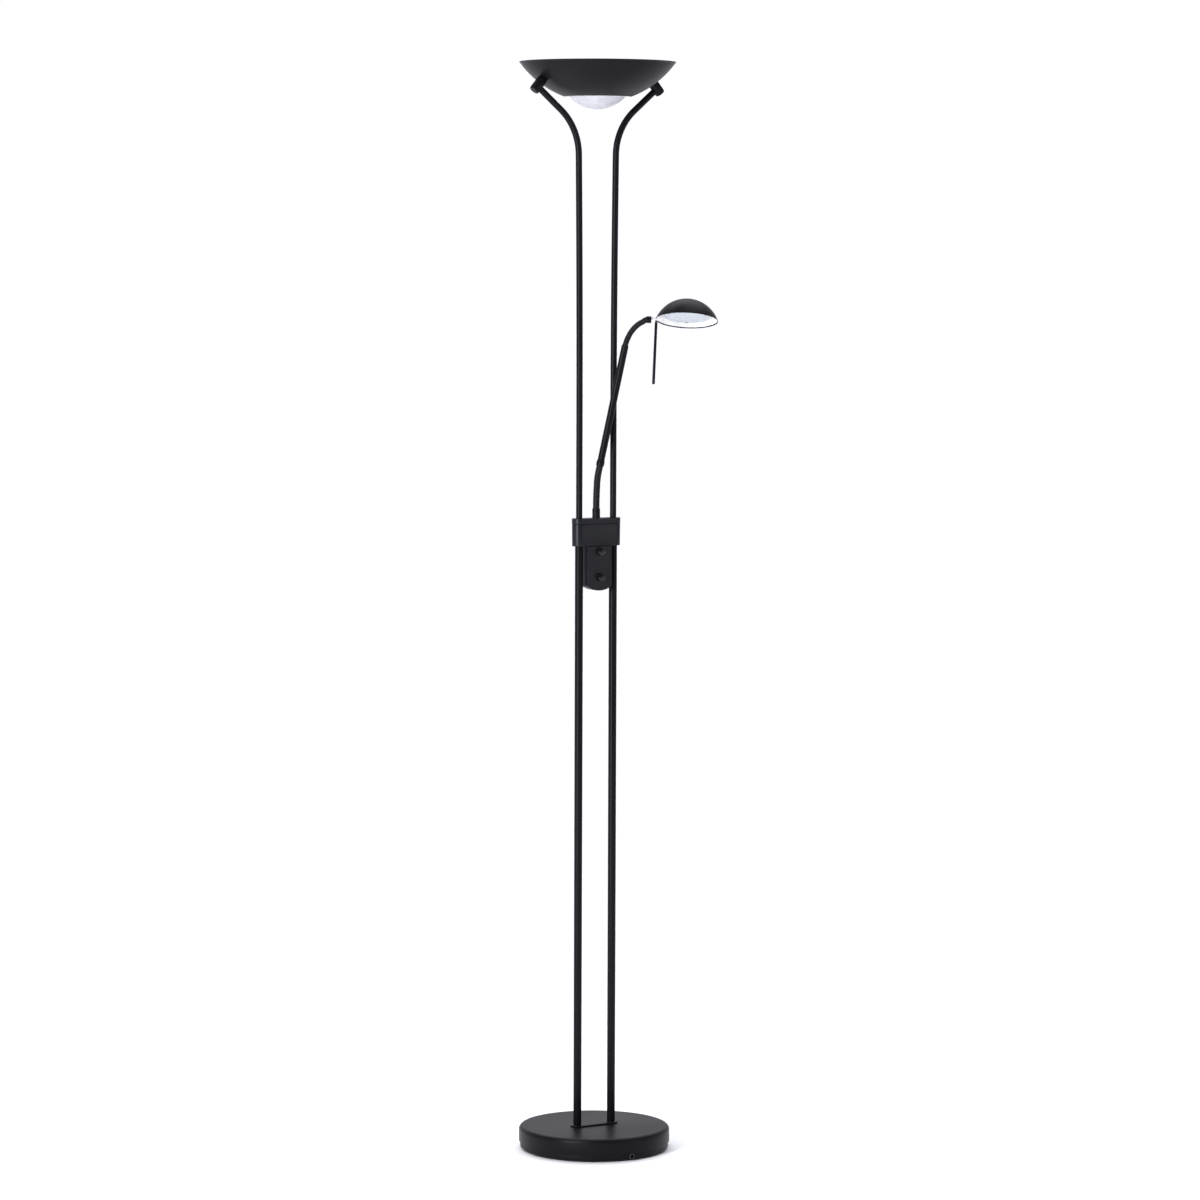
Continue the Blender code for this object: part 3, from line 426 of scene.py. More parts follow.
def upper_tube_line():
    """Centreline of the right-hand upper tube, straight, gently splayed, bent and straight."""
    rise = SPLAY_END - SPLAY_START
    line = [Vector((TUBE_X, 0, UPPER_FOOT))]
    for i in range(SPLAY_STEPS + 1):
        share = i / SPLAY_STEPS
        line.append(Vector((TUBE_X + SPLAY * share * share, 0, SPLAY_START + rise * share)))
    start, end = math.atan(2 * SPLAY / rise), math.pi / 2 - BOSS_ANGLE
    foot = line[-1]
    for i in range(1, BEND_STEPS + 1):
        lean = start + (end - start) * i / BEND_STEPS
        line.append(foot + BEND_RADIUS * Vector((math.cos(start) - math.cos(lean), 0,
                                                 math.sin(lean) - math.sin(start))))
    run = (BOSS_TUBE * math.sin(BOSS_ANGLE) - line[-1].x) / math.sin(end) - 0.002
    line.append(line[-1] + run * Vector((math.sin(end), 0, math.cos(end))))
    return line


def tube_stack(outer, inner, stations):
    """A straight tube with a ring of edges at each station along it."""
    outline = [(outer, z) for z in stations] + [(inner, z) for z in reversed(stations)]
    return turned(outline, 40, closed=True)


right_line = upper_tube_line()
stations, walked = [0.0], 0.0
for before, after in zip(right_line, right_line[1:]):
    walked += (after - before).length
    stations.append(walked)
for side, sign in (("left", -1), ("right", 1)):
    lower = ease(ring(LOWER_RADIUS, LOWER_BORE, LOWER_FOOT, LOWER_TOP, 64,
                      Matrix.Translation((sign * TUBE_X, 0, 0))), 0.0003)
    add_piece("column_tube_" + side, lower, [powder_coat], "stand", "satin_black_paint",
              "lower_tube_" + side)
    line = [Vector((sign * point.x, 0, point.z)) for point in right_line]
    upper = bend_along(tube_stack(UPPER_RADIUS, UPPER_BORE, stations), line)
    add_piece("bowl_tube_" + side, upper, [powder_coat], "stand", "satin_black_paint",
              "upper_tube_" + side)


# ---- Collar ----
# A moulded block that clamps round both pairs of tubes and carries the reading arm, with a
# separate cap on top. It is fine-textured black plastic, a shade softer than the paint.

COLLAR_RADIUS, COLLAR_BOTTOM, COLLAR_SPLIT, COLLAR_TOP = 0.0119, 1.0066, 1.0430, 1.0525
CAP_LOW = 1.0433
GROOVE_Z, GROOVE_HEIGHT, GROOVE_DEPTH = 1.0122, 0.0008, 0.0007
WELL_RADIUS, WELL_FLOOR, WIRE_HOLE, STUD_HOLE = 0.009, 1.030, 0.003, 0.0043
FIT_GAP = 0.0003
BELOW, ABOVE = 1.0, 1.06

moulding = make_finish("black_moulding", (0.0045, 0.0048, 0.0072), (0.0065, 0.0068, 0.0097),
                       (0.32, 0.40), (1700, 0.00005), 14, specular=0.2)
body = stadium_block(COLLAR_RADIUS, COLLAR_BOTTOM, COLLAR_SPLIT)
low_edge = [vert for vert in body.verts if vert.co.z < COLLAR_BOTTOM + 0.001]
bmesh.ops.scale(body, vec=(0.993, 0.975, 1), verts=low_edge)
ease(body, 0.0006, 3, 60)
band = cut_away(stadium_block(COLLAR_RADIUS + 0.003, GROOVE_Z, GROOVE_Z + GROOVE_HEIGHT),
                stadium_block(COLLAR_RADIUS - GROOVE_DEPTH, GROOVE_Z - 0.001, GROOVE_Z + 0.002))
body = cut_away(body, band)
wide, narrow, step_z = LOWER_RADIUS + FIT_GAP, UPPER_RADIUS + FIT_GAP, LOWER_TOP + FIT_GAP
stepped = [(0, BELOW), (wide, BELOW), (wide, step_z), (narrow, step_z), (narrow, ABOVE), (0, ABOVE)]
well = [(0, BELOW), (WIRE_HOLE, BELOW), (WIRE_HOLE, WELL_FLOOR), (WELL_RADIUS, WELL_FLOOR),
        (WELL_RADIUS, ABOVE), (0, ABOVE)]
bores = together(*[turned(stepped, 48, side) for side in tube_sides], turned(well, 48))
add_piece("collar_moulding", cut_away(body, bores), [moulding], "stand", "black_moulding",
          "collar_body")
cap = ease(stadium_block(COLLAR_RADIUS + 0.0002, CAP_LOW, COLLAR_TOP), 0.0007, 4, 60)
bores = together(*[rod(narrow, LOWER_TOP, ABOVE, 48, side) for side in tube_sides],
                 rod(STUD_HOLE, LOWER_TOP, ABOVE))
add_piece("collar_cap_moulding", cut_away(cap, bores), [moulding], "stand", "black_moulding",
          "collar_cap")


# ---- Dimmer housing ----
# A shallow moulded box under the collar, square at the top and rounded at the bottom, closed by
# a screwed back. Inside are the dimmer board and its two controls.

HOUSING_HALF_WIDTH, HOUSING_BOTTOM, HOUSING_ARC = 0.023, 0.933, 0.040
HOUSING_TOP = 1.0063
HOUSING_FRONT, HOUSING_BACK, HOUSING_WALL = -0.0133, 0.005, 0.0016
BACK_NEAR, BACK_FAR = 0.0053, 0.0070
KNOB_HEIGHTS = {"upper": 0.998, "lower": 0.9556}
SCREW_X, SCREW_Z, SCREW_HOLE, POST_RADIUS, SHAFT_HOLE = 0.016, 0.977, 0.0016, 0.0032, 0.003


def housing_slab(near, far):
    """The housing's outline carried from near to far along Y."""
    reach = math.degrees(math.asin(HOUSING_HALF_WIDTH / HOUSING_ARC))
    under = arc((0, HOUSING_BOTTOM + HOUSING_ARC), HOUSING_ARC, 270 - reach, 270 + reach, 28)
    corner = under[0][1] + 0.002
    outline = [(-HOUSING_HALF_WIDTH, corner)] + under[1:-1] + [(HOUSING_HALF_WIDTH, corner)]
    outline += [(HOUSING_HALF_WIDTH, HOUSING_TOP), (-HOUSING_HALF_WIDTH, HOUSING_TOP)]
    bm = bmesh.new()
    bm.faces.new([bm.verts.new((x, near, z)) for x, z in outline])
    moved = bmesh.ops.extrude_face_region(bm, geom=bm.faces[:])["geom"]
    far_verts = [part for part in moved if isinstance(part, bmesh.types.BMVert)]
    bmesh.ops.translate(bm, vec=(0, far - near, 0), verts=far_verts)
    bmesh.ops.recalc_face_normals(bm, faces=bm.faces)
    return bm


shell = housing_slab(HOUSING_FRONT, HOUSING_BACK)
opening = [face for face in shell.faces if face.normal.y > 0.99]
bmesh.ops.inset_region(shell, faces=opening, thickness=HOUSING_WALL, use_even_offset=True)
grown = bmesh.ops.extrude_face_region(shell, geom=opening)["geom"]
bmesh.ops.delete(shell, geom=opening, context="FACES_ONLY")
floor_verts = [part for part in grown if isinstance(part, bmesh.types.BMVert)]
depth = HOUSING_BACK - HOUSING_FRONT - HOUSING_WALL
bmesh.ops.translate(shell, vec=(0, -depth, 0), verts=floor_verts)
front_edges = [edge for edge in shell.edges
               if all(abs(vert.co.y - HOUSING_FRONT) < 1e-5 for vert in edge.verts)]
bmesh.ops.bevel(shell, geom=front_edges, offset=0.0012, affect="EDGES", segments=5, profile=0.5,
                material=-1)
shaft_holes = together(*[rod(SHAFT_HOLE, 0.009, 0.016, 32, aim((0, 0, z), FRONT))
                         for z in KNOB_HEIGHTS.values()])
posts = [ring(POST_RADIUS, SCREW_HOLE, 0.001, HOUSING_BACK - HOUSING_FRONT - 0.0006, 32,
              aim((x, HOUSING_FRONT, SCREW_Z), -FRONT)) for x in (-SCREW_X, SCREW_X)]
add_piece("dimmer_shell", together(cut_away(shell, shaft_holes), *posts), [moulding], "stand",
          "black_moulding", "dimmer_housing")
back = ease(housing_slab(BACK_NEAR, BACK_FAR), 0.0004, 2, 60)
screw_holes = together(*[rod(SCREW_HOLE, 0, 0.03, 24, aim((x, 0, SCREW_Z), -FRONT))
                         for x in (-SCREW_X, SCREW_X)])
add_piece("dimmer_back_plate", cut_away(back, screw_holes), [moulding], "stand", "black_moulding",
          "dimmer_back")
laminate = make_finish("solder_masked_laminate", (0.012, 0.07, 0.022), (0.02, 0.11, 0.035),
                       (0.3, 0.45), (400, 0.00002), 200)
pot_plastic = make_finish("pot_case", (0.09, 0.09, 0.1), (0.13, 0.13, 0.14), (0.4, 0.55),
                          (900, 0.00003), 120)
dress(laminate, "dimmer_board")
dress(pot_plastic, "dimmer_pot_upper", "dimmer_pot_lower")
dress(zinc, "back_screw_left", "back_screw_right", "knob_shaft_upper", "knob_shaft_lower")


# ---- Dimmer knobs ----
# Two small domed knobs of gloss black plastic, fluted round the side for grip and pushed onto
# the control shafts: the upper one is for the bowl, the lower one for the reading lamp.

KNOB_RADIUS, KNOB_NEAR, KNOB_DEPTH = 0.00675, 0.0136, 0.008
KNOB_BORE, BORE_DEPTH, KNOB_DOME = 0.0027, 0.005, 0.012
FLUTES, FLUTE_DEPTH = 20, 0.00028

knob_gloss = make_finish("gloss_knob", (0.0022, 0.0022, 0.0026), (0.003, 0.003, 0.0035),
                         (0.07, 0.10), (1500, 0.00001), 200, specular=0.35)
for which, z in KNOB_HEIGHTS.items():
    face = KNOB_NEAR + KNOB_DEPTH
    outline = [(0, KNOB_NEAR + BORE_DEPTH), (KNOB_BORE, KNOB_NEAR + BORE_DEPTH), (KNOB_BORE, KNOB_NEAR),
               (KNOB_RADIUS - 0.0003, KNOB_NEAR), (KNOB_RADIUS, KNOB_NEAR + 0.0003)]
    outline += [(KNOB_RADIUS - 0.0001, KNOB_NEAR + 0.0012), (KNOB_RADIUS - 0.0002, face - 0.0022)]
    outline += arc((0, face - KNOB_DOME), KNOB_DOME, 57, 90, 14)[:-1] + [(0, face)]
    knob = turned(outline, 160)
    for vert in knob.verts:
        radius = math.hypot(vert.co.x, vert.co.y)
        if radius > KNOB_RADIUS - 0.0006:
            dip = FLUTE_DEPTH * (0.5 - 0.5 * math.cos(FLUTES * math.atan2(vert.co.y, vert.co.x)))
            vert.co.xy *= 1 - dip / radius
    bmesh.ops.transform(knob, matrix=aim((0, 0, z), FRONT), verts=knob.verts)
    add_piece("knob_cap_" + which, knob, [knob_gloss], which + "_knob", "knob_black",
              "dimmer_knob_" + which)


# ---- Uplighter bowl ----
# A shallow spun steel bowl with a small bead at the rim and a flat seat round the hole in its
# floor. It is satin black outside and matt white inside, to throw the light at the ceiling.

BOWL_SPHERE, BOWL_RIM_Z, BOWL_FLOOR_Z, BOWL_HOLE = 0.1576, 1.800, 1.743, 0.0475
BEAD, BOLT_AXIS_START, BOWL_BOLT_HOLE = 0.0009, 0.150, 0.0051


def on_boss(distance, sign=1):
    """The point this far from the bowl's centre along a boss axis."""
    return Vector((sign * distance * math.sin(BOSS_ANGLE), 0,
                   BOWL_CENTRE_Z - distance * math.cos(BOSS_ANGLE)))


def sphere_zone(radius, centre_z, low_z, high_z, steps):
    """Points of radius and height on a sphere between two heights."""
    first = math.degrees(math.asin((low_z - centre_z) / radius))
    last = math.degrees(math.asin((high_z - centre_z) / radius))
    return arc((0, centre_z), radius, first, last, steps)


def paint_inside(bm, centre, radius):
    """The faces within the radius of the centre take the piece's second finish."""
    for face in bm.faces:
        if (face.calc_center_median() - centre).length < radius:
            face.material_index = 1
    return bm


reflector_white = make_finish("reflector_white", (0.80, 0.80, 0.79), (0.86, 0.86, 0.85),
                              (0.55, 0.7), (900, 0.00003), 15)
outer = sphere_zone(BOWL_SPHERE, BOWL_CENTRE_Z, BOWL_FLOOR_Z, BOWL_RIM_Z - 2 * BEAD, 40)
inner = sphere_zone(BOWL_SPHERE - SHEET, BOWL_CENTRE_Z, BOWL_FLOOR_Z + SHEET, BOWL_RIM_Z - BEAD, 40)
bead = arc((outer[-1][0] + 0.0001, BOWL_RIM_Z - BEAD), BEAD, -50, 160, 10)
outline = [(BOWL_HOLE, BOWL_FLOOR_Z)] + outer + bead + inner[::-1]
outline += [(BOWL_HOLE, BOWL_FLOOR_Z + SHEET)]
bowl_axes = [aim(on_boss(BOLT_AXIS_START, sign), on_boss(1, sign) - on_boss(0, sign))
             for sign in (-1, 1)]
bowl = cut_away(turned(outline, ROUND_SIDES, closed=True),
                together(*[rod(BOWL_BOLT_HOLE, 0, 0.012, 40, axis) for axis in bowl_axes]))
paint_inside(bowl, Vector((0, 0, BOWL_CENTRE_Z)), BOWL_SPHERE - 0.0008)
add_piece("bowl_spinning", bowl, [powder_coat, reflector_white], "stand", "satin_black_paint",
          "uplighter_bowl")


# ---- Opal dish ----
# A loose dish of satin opal glass that rests by its flange in the bowl's floor and hangs through
# the hole. It glows softly downwards when the lamp is lit.

DISH_SPHERE, DISH_CENTRE_Z, DISH_WALL, DISH_FLANGE, DISH_SEAT = 0.0615, 1.784, 0.003, 0.0535, 1.7443


def make_glass(name, colour, roughness, transmission, patches=30):
    """Glass with a slightly uneven surface, as pressed or drawn glass has."""
    material = make_finish(name, colour[0], colour[1], roughness, (160, 0.000002), patches)
    shader = material.node_tree.nodes["Principled BSDF"]
    shader.inputs["Transmission Weight"].default_value = transmission
    shader.inputs["IOR"].default_value = 1.5
    return material


opal = make_glass("opal_glass", ((0.42, 0.42, 0.45), (0.46, 0.46, 0.49)), (0.22, 0.3), 0.0)
lowest = DISH_CENTRE_Z - DISH_SPHERE
outer = sphere_zone(DISH_SPHERE, DISH_CENTRE_Z, lowest, DISH_SEAT, 32)
inner = sphere_zone(DISH_SPHERE - DISH_WALL, DISH_CENTRE_Z, lowest + DISH_WALL,
                    DISH_SEAT + DISH_WALL, 32)
lip = arc((DISH_FLANGE - DISH_WALL / 2, DISH_SEAT + DISH_WALL / 2), DISH_WALL / 2, -90, 90, 10)
outline = [(0, lowest)] + outer[1:] + lip + inner[:0:-1] + [(0, lowest + DISH_WALL)]
add_piece("dish_glass", turned(outline, 128), [opal], "stand", "opal_glass", "opal_dish")


# ---- Bosses ----
# Two turned steel barrels, one at the end of each tube, that the bowl is bolted to. They are
# coated with the tubes, and the tube enters each from the side.

BOSS_RADIUS, BOSS_OUTER, BOSS_INNER = 0.0085, 0.1844, 0.158
BOSS_EDGE, BOSS_TAPER, BOSS_BORE, SOCKET_DEPTH = 0.0015, 0.004, 0.0048, 0.020

for side, sign in (("left", -1), ("right", 1)):
    inward = on_boss(0, sign) - on_boss(1, sign)
    length = BOSS_OUTER - BOSS_INNER
    seat = aim(on_boss(BOSS_OUTER, sign), inward)
    outline = [(0, 0), (0.0066, 0)] + arc((0.0066, BOSS_EDGE), BOSS_EDGE, -90, 0, 6)[1:]
    outline += [(BOSS_RADIUS, BOSS_TAPER), (BOSS_RADIUS, length - BOSS_TAPER)]
    outline += [(BOSS_RADIUS - 0.0012, length), (0, length)]
    barrel = ease(turned(outline, 72, seat), 0.0003, 2, 50)
    tube_way = Vector((sign * math.cos(BOSS_ANGLE), 0, math.sin(BOSS_ANGLE)))
    mouth = aim(on_boss(BOSS_TUBE, sign) - SOCKET_DEPTH * tube_way, tube_way)
    holes = together(rod(UPPER_RADIUS + FIT_GAP, 0, SOCKET_DEPTH + 0.0005, 40, mouth),
                     rod(BOSS_BORE, BOSS_OUTER - BOSS_TUBE, 0.04, 40, seat))
    add_piece("barrel_" + side, cut_away(barrel, holes), [powder_coat], "stand",
              "satin_black_paint", "boss_" + side)
dress(zinc, "hollow_bolt_left", "hollow_bolt_right")


# ---- Lamp and its holders ----
# A bent zinc-plated bracket, held by the bowl's hollow bolts, carries two ceramic holders for a
# linear halogen lamp 118 mm long: a clear quartz tube with a tungsten coil on its axis.

LAMP_Z, LAMP_HALF, PINCH_RADIUS, PINCH_END = 1.7705, 0.0588, 0.0036, 0.050
COIL_HALF, COIL_RADIUS, COIL_PITCH, WIRE_RADIUS = 0.036, 0.0007, 0.0009, 0.00014

dress(zinc, "lamp_bracket")
ceramic = make_finish("glazed_steatite", (0.72, 0.69, 0.62), (0.80, 0.77, 0.70), (0.3, 0.45),
                      (300, 0.00005), 60)
dress(ceramic, "lampholder_left", "lampholder_right", "reading_lampholder")
quartz = make_glass("clear_quartz", ((0.93, 0.94, 0.95), (0.96, 0.97, 0.98)), (0.02, 0.05), 1.0)
outline = [(0, -LAMP_HALF), (PINCH_RADIUS - 0.0006, -LAMP_HALF),
           (PINCH_RADIUS, -LAMP_HALF + 0.001), (PINCH_RADIUS, -PINCH_END)]
outline += arc((PINCH_RADIUS, 0.004 - PINCH_END), 0.0014, -80, 0, 6)
outline += [(r, -z) for r, z in outline[::-1]]
lamp_frame = aim((0, 0, LAMP_Z), (1, 0, 0))
add_piece("lamp_envelope", turned(outline, 48, lamp_frame), [quartz], "stand", "quartz",
          "halogen_tube")
tungsten = make_finish("tungsten", (0.22, 0.22, 0.23), (0.32, 0.32, 0.33), (0.35, 0.5),
                       (2000, 0.00001), 400, metallic=1.0)
coil = bmesh.new()
standing = Matrix.Translation((COIL_RADIUS, 0, -COIL_HALF)) @ Matrix.Rotation(math.pi / 2, 4, "X")
bmesh.ops.create_circle(coil, radius=WIRE_RADIUS, segments=5, matrix=standing)
turns = round(2 * COIL_HALF / COIL_PITCH)
bmesh.ops.spin(coil, geom=coil.verts[:] + coil.edges[:], axis=(0, 0, 1), cent=(0, 0, 0),
               dvec=(0, 0, COIL_PITCH / 10), angle=math.tau * turns, steps=turns * 10)
bmesh.ops.holes_fill(coil, edges=coil.edges)
bmesh.ops.transform(coil, matrix=lamp_frame, verts=coil.verts)
add_piece("lamp_coil", coil, [tungsten], "stand", "zinc_steel")


# ---- Lamp leads ----
# One heat-proof lead runs from each ceramic holder over to the hollow bolt beside it and down
# inside the tube. It is a stranded wire in a pale silicone sleeve.

LEAD_RADIUS, LEAD_START_X, LEAD_END = 0.0011, 0.0690, 0.1535

silicone = make_finish("silicone_sleeve", (0.55, 0.53, 0.49), (0.63, 0.61, 0.57), (0.45, 0.6),
                       (700, 0.00004), 60)
for side, sign in (("left", -1), ("right", 1)):
    start, end = Vector((sign * LEAD_START_X, 0, LAMP_Z)), on_boss(LEAD_END, sign)
    over = Vector((sign * 0.012, 0, 0.013))
    into = (on_boss(1, sign) - on_boss(0, sign)) * 0.016
    line = interpolate_bezier(start, start + over, end - into, end, 40)
    sleeve = rod(LEAD_RADIUS, 0, line_length(line), 16)
    cuts = [edge for edge in sleeve.edges if abs(edge.verts[0].co.z - edge.verts[1].co.z) > 1e-4]
    bmesh.ops.subdivide_edges(sleeve, edges=cuts, cuts=60)
    lead = add_piece("lamp_lead_" + side, bend_along(sleeve, line), [silicone], "stand",
                     "white_ceramic")


# ---- Arm root ----
# A turned ferrule on the collar's pivot stud takes the foot of the flexible arm, and turns with
# it. It is coated satin black like the tubes.

FERRULE_LOW, FERRULE_TOP, FERRULE_RADIUS, FERRULE_BORE = 1.0528, 1.0680, 0.0065, 0.0059
FERRULE_FLOOR = FERRULE_LOW + 0.0024

cup = [(STUD_HOLE, FERRULE_LOW), (FERRULE_RADIUS - 0.0003, FERRULE_LOW),
       (FERRULE_RADIUS, FERRULE_LOW + 0.0003), (FERRULE_RADIUS, FERRULE_TOP - 0.0006)]
cup += [(FERRULE_RADIUS - 0.0003, FERRULE_TOP), (FERRULE_BORE, FERRULE_TOP),
        (FERRULE_BORE, FERRULE_FLOOR), (STUD_HOLE, FERRULE_FLOOR)]
add_piece("root_ferrule", turned(cup, 64, closed=True), [powder_coat], "neck_root",
          "satin_black_paint", "arm_ferrule")


# ---- Lower gooseneck ----
# A flexible steel hose wound from two wires, in a thin black sleeve that shows its turns as fine
# ribs. It holds any curve that it is bent to.

ARM = Matrix.Rotation(math.radians(-30), 4, "Z")
LOWER_HOSE_RADIUS, RIB_PITCH, RIB_DEPTH = 0.0056, 0.0016, 0.00022
RIB_POINTS = 6
ARM_TUBE_LEAN = 11.7


def in_arm(out, height):
    return ARM @ Vector((out, 0, height))


def walk(start, lean, step):
    """The arm-plane point one step on from another, leaning this many degrees outwards."""
    return (start[0] + step * math.sin(math.radians(lean)),
            start[1] + step * math.cos(math.radians(lean)))


def middle(a, b):
    return (a[0] + b[0]) / 2, (a[1] + b[1]) / 2


def hose_line(stations):
    """A smooth line through arm-plane stations, each with the lean it is passed at."""
    line = []
    for (a, lean_a), (b, lean_b) in zip(stations, stations[1:]):
        third = math.dist(a, b) / 3
        handle_a, handle_b = walk(a, lean_a, third), walk(b, lean_b, -third)
        span = interpolate_bezier(in_arm(*a), in_arm(*handle_a), in_arm(*handle_b), in_arm(*b), 24)
        line += span[1 if line else 0:]
    return line


def ribbed_hose(radius, line):
    """A closed length of ribbed hose that follows the line, ending on the top of a rib."""
    length = line_length(line)
    ribs = max(round(length / RIB_PITCH), 1)
    outline = [(0, 0)]
    for i in range(ribs * RIB_POINTS + 1):
        share = i / RIB_POINTS
        dip = RIB_DEPTH * (0.5 - 0.5 * math.cos(math.tau * share))
        outline.append((radius - dip, length * share / ribs))
    return bend_along(turned(outline + [(0, length)], 36), line)


neck_sleeve = make_finish("neck_sleeve", (0.0055, 0.0055, 0.0062), (0.008, 0.008, 0.0088),
                          (0.42, 0.52), (1300, 0.00003), 40, specular=0.15)
lower_joints = [(0, 1.0552), (0, 1.075)]
lower_leans = (0, 1.5, 3.0, ARM_TUBE_LEAN)
for lean, step in zip(lower_leans[1:], (0.022, 0.022, 0.020)):
    lower_joints.append(walk(lower_joints[-1], lean, step))
lower_mids = [(middle(a, b), lean) for a, b, lean in
              zip(lower_joints, lower_joints[1:], lower_leans)]
tube_foot = lower_joints[-1]
lower_parts = [
    ([((0, 1.0556), 0)] + lower_mids[:2], ("neck_root", "lower_link_2"), (0, 1),
     ["lower_neck_1", "lower_neck_2"]),
    (lower_mids[1:3], ("lower_link_2", "lower_link_3"), (1, 2), ["lower_neck_3"]),
    (lower_mids[2:4] + [(walk(tube_foot, ARM_TUBE_LEAN, 0.004), ARM_TUBE_LEAN)],
     ("lower_link_3", "arm"), (2, 3), ["lower_neck_4"]),
]
for i, (stations, bodies, mids, nodes) in enumerate(lower_parts, 1):
    hose = add_piece(f"lower_hose_{i}", ribbed_hose(LOWER_HOSE_RADIUS, hose_line(stations)),
                     [neck_sleeve], None, "neck_sleeve", *nodes)
    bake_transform(hose)


# ---- Arm tube ----
# A rigid length of steel tube between the two goosenecks, coated satin black. Its lower end is
# swaged out over the hose.

ARM_TUBE_LENGTH, ARM_TUBE_RADIUS, ARM_TUBE_BORE = 0.203, 0.0058, 0.0050
LIP_RADIUS, LIP_MOUTH, LIP_LENGTH = 0.0066, 0.0059, 0.0080

start = in_arm(*tube_foot)
tube_head = walk(tube_foot, ARM_TUBE_LEAN, ARM_TUBE_LENGTH)
length = ARM_TUBE_LENGTH - 0.0003
outline = [(LIP_MOUTH, 0), (LIP_RADIUS - 0.0003, 0), (LIP_RADIUS, 0.0003), (LIP_RADIUS, LIP_LENGTH)]
outline += [(LIP_RADIUS - 0.0002, LIP_LENGTH + 0.0004), (ARM_TUBE_RADIUS + 0.0001, 0.0094)]
outline += [(ARM_TUBE_RADIUS, 0.0098), (ARM_TUBE_RADIUS, length - 0.0006)]
outline += [(ARM_TUBE_RADIUS - 0.0006, length), (ARM_TUBE_BORE, length), (ARM_TUBE_BORE, 0.0065)]
outline += [(LIP_MOUTH, 0.0055)]
add_piece("arm_sleeve_tube", turned(outline, 64, aim(start, in_arm(*tube_head) - start), closed=True),
          [powder_coat], "arm", "satin_black_paint", "arm_tube")


# ---- Upper gooseneck ----
# A slimmer hose of the same make, from inside the arm tube's top to the head. It is bent right
# over, so that the head hangs level.

UPPER_HOSE_RADIUS = 0.0047

upper_joints = [tube_head]
upper_leans = (16.5, 27.8, 45.8, 66.5)
for lean, step in zip(upper_leans, (0.0095, 0.017, 0.016, 0.0125)):
    upper_joints.append(walk(upper_joints[-1], lean, step))
upper_mids = [(middle(a, b), lean) for a, b, lean in
              zip(upper_joints, upper_joints[1:], upper_leans)]
inside_tube = (walk(tube_head, ARM_TUBE_LEAN, -0.006), ARM_TUBE_LEAN)
at_ferrule = ((0.0822, 1.3792), 90)
upper_parts = [
    ([inside_tube, (tube_head, 13.0)] + upper_mids[:2], ("arm", "upper_link_2"), (0, 1),
     ["upper_neck_1", "upper_neck_2"]),
    (upper_mids[1:3], ("upper_link_2", "upper_link_3"), (1, 2), ["upper_neck_3"]),
    (upper_mids[2:4] + [at_ferrule], ("upper_link_3", "neck_end"), (2, 3), ["upper_neck_4"]),
]
for i, (stations, bodies, mids, nodes) in enumerate(upper_parts, 1):
    hose = add_piece(f"upper_hose_{i}", ribbed_hose(UPPER_HOSE_RADIUS, hose_line(stations)),
                     [neck_sleeve], None, "neck_sleeve", *nodes)
    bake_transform(hose)


# ---- Head ferrule ----
# A short turned end on the hose, bored for the head's stem, which turns in it with some drag.

HEAD_FERRULE_RADIUS, HEAD_FERRULE_Z, HEAD_FERRULE_EDGE = 0.0057, 1.3792, 0.0008
STEM_Z, STEM_HOLE = 1.3813, 0.0023
FERRULE_NEAR, FERRULE_FAR = 0.0813, 0.0896

along = aim(in_arm(0, HEAD_FERRULE_Z), in_arm(1, 0))
flat = HEAD_FERRULE_RADIUS - HEAD_FERRULE_EDGE
outline = [(0, FERRULE_NEAR), (flat, FERRULE_NEAR)]
outline += arc((flat, FERRULE_NEAR + HEAD_FERRULE_EDGE), HEAD_FERRULE_EDGE, -90, 0, 5)[1:]
outline += [(HEAD_FERRULE_RADIUS, FERRULE_FAR - 0.0004), (HEAD_FERRULE_RADIUS - 0.0004, FERRULE_FAR)]
outline += [(0, FERRULE_FAR)]
stem_hole = rod(STEM_HOLE, FERRULE_NEAR + 0.0015, FERRULE_FAR + 0.002, 32,
                aim(in_arm(0, STEM_Z), in_arm(1, 0)))
add_piece("neck_end_ferrule", cut_away(turned(outline, 64, along), stem_hole), [powder_coat],
          "neck_end", "satin_black_paint", "head_ferrule")


# ---- Reading shade ----
# A small spun aluminium dome, satin black outside and round its thin edge, and gloss white
# inside. A slot at its inner side clears the casting that holds it.

HEAD = (Matrix.Translation(in_arm(0.148, 1.3779)) @ ARM @ Matrix.Rotation(math.radians(2.5), 4, "Y")
        @ Matrix.Rotation(math.radians(-15.5), 4, "X"))
SHADE_SPHERE, SHADE_RIM, SHADE_WALL, BLACK_EDGE = 0.055, 0.0515, 0.0008, 0.0012

drop = math.sqrt(SHADE_SPHERE ** 2 - SHADE_RIM ** 2)
outer = sphere_zone(SHADE_SPHERE, -drop, 0.0003, SHADE_SPHERE - drop, 36)
inner = sphere_zone(SHADE_SPHERE - SHADE_WALL, -drop, 0, SHADE_SPHERE - SHADE_WALL - drop, 36)
outline = [(0, outer[-1][1])] + outer[-2::-1] + [(SHADE_RIM - 0.0002, 0)] + inner[:-1]
outline += [(0, inner[-1][1])]
slot = box((-0.055, -0.0026, -0.002), (-0.047, 0.0026, 0.0044), HEAD)
shade = cut_away(turned(outline, 144, HEAD), slot)
to_head = HEAD.inverted()
for face in shade.faces:
    middle_point = to_head @ face.calc_center_median()
    inside = (middle_point + Vector((0, 0, drop))).length < SHADE_SPHERE - 0.0006
    if inside and middle_point.z > BLACK_EDGE:
        face.material_index = 1
gloss_white = make_finish("gloss_reflector", (0.84, 0.84, 0.84), (0.88, 0.88, 0.88), (0.25, 0.35),
                          (900, 0.00002), 25)
add_piece("shade_spinning", shade, [powder_coat, gloss_white], "reading_head", "satin_black_paint",
          "reading_shade")


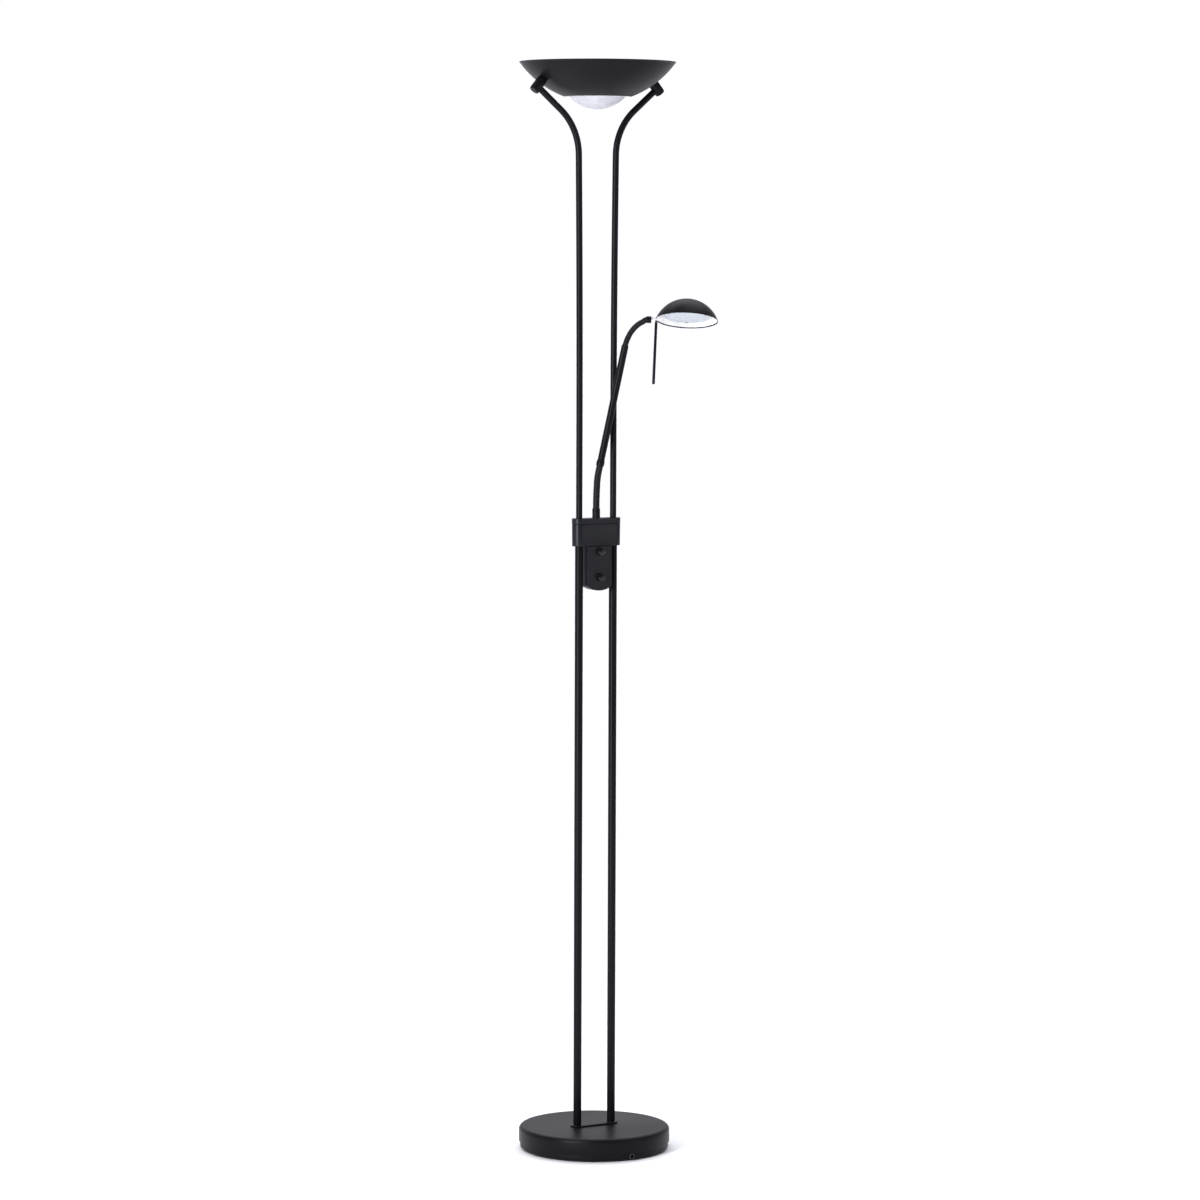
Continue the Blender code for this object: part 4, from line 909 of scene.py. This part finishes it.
# ---- Head casting and clips ----
# One white-painted casting joins the shade, the stem in the neck and the handle, and three bent
# spring clips hold the filter glass.

casting = make_finish("white_casting", (0.62, 0.62, 0.63), (0.72, 0.72, 0.73), (0.3, 0.45),
                      (500, 0.00006), 120, metallic=0.2)
dress(casting, "head_block")
dress(zinc, "glass_clip_back", "glass_clip_front", "glass_clip_right")


# ---- Reading bulb ----
# A clear quartz capsule with a flattened pinch, pushed into its ceramic holder from the side.

CAPSULE_RADIUS, CAPSULE_SHOULDER = 0.0055, 0.018
CAPSULE_PLACE = (-0.0217, 0, 0.0145)

outline = [(0, 0), (0.0040, 0), (0.0042, 0.002)]
outline += arc((CAPSULE_RADIUS - 0.0018, 0.0050), 0.0018, -60, 0, 6)
outline += arc((0, CAPSULE_SHOULDER), CAPSULE_RADIUS, 0, 90, 14)[:-1]
outline += [(0, CAPSULE_SHOULDER + CAPSULE_RADIUS)]
add_piece("bulb_capsule", turned(outline, 48, HEAD @ aim(CAPSULE_PLACE, (1, 0, 0))),
          [quartz], "reading_head", "quartz", "reading_bulb")


# ---- Filter glass ----
# A flat ground disc of lightly frosted, faintly blue glass that stops ultraviolet light and hides
# the bulb.

GLASS_RADIUS, GLASS_LOW, GLASS_THICK = 0.037, 0.0055, 0.0025

frosted = make_glass("frosted_filter_glass", ((0.60, 0.65, 0.69), (0.67, 0.72, 0.76)), (0.3, 0.45),
                     0.35)
disc = ease(rod(GLASS_RADIUS, GLASS_LOW, GLASS_LOW + GLASS_THICK, 128, HEAD), 0.0004, 2)
add_piece("glass_disc", disc, [frosted], "reading_head", "filter_glass", "filter_glass")


# ---- Handle ----
# A thin coated steel rod that hangs from the head's inner side, for turning the head without
# touching the hot shade. A slim black moulded sleeve covers nearly all of it.

HANDLE_U, HANDLE_RADIUS, HANDLE_LENGTH, HANDLE_TOP = -0.0503, 0.0016, 0.110, -0.0027
GRIP_LENGTH, GRIP_RADIUS, GRIP_EDGE, HANDLE_SEAT = 0.1045, 0.0024, 0.0011, 0.012

handle_frame = HEAD @ Matrix.Translation((HANDLE_U, 0, 0))
grip_low, grip_top = -HANDLE_LENGTH, GRIP_LENGTH - HANDLE_LENGTH
seat = grip_low + HANDLE_SEAT
steel = ease(rod(HANDLE_RADIUS, seat, HANDLE_TOP, 40, handle_frame), 0.0002)
add_piece("handle_steel", steel, [powder_coat], "reading_head", "satin_black_paint", "handle_rod")
bore, bore_end = HANDLE_RADIUS + FIT_GAP, seat - FIT_GAP
outline = [(0, grip_low), (GRIP_RADIUS - GRIP_EDGE, grip_low)]
outline += arc((GRIP_RADIUS - GRIP_EDGE, grip_low + GRIP_EDGE), GRIP_EDGE, -90, 0, 6)[1:]
outline += [(bore + 0.0004, grip_top - 0.0004), (bore + 0.0001, grip_top), (bore, grip_top)]
outline += [(bore, bore_end), (0, bore_end)]
add_piece("handle_sleeve", turned(outline, 48, handle_frame), [moulding], "reading_head",
          "black_moulding", "handle_grip")
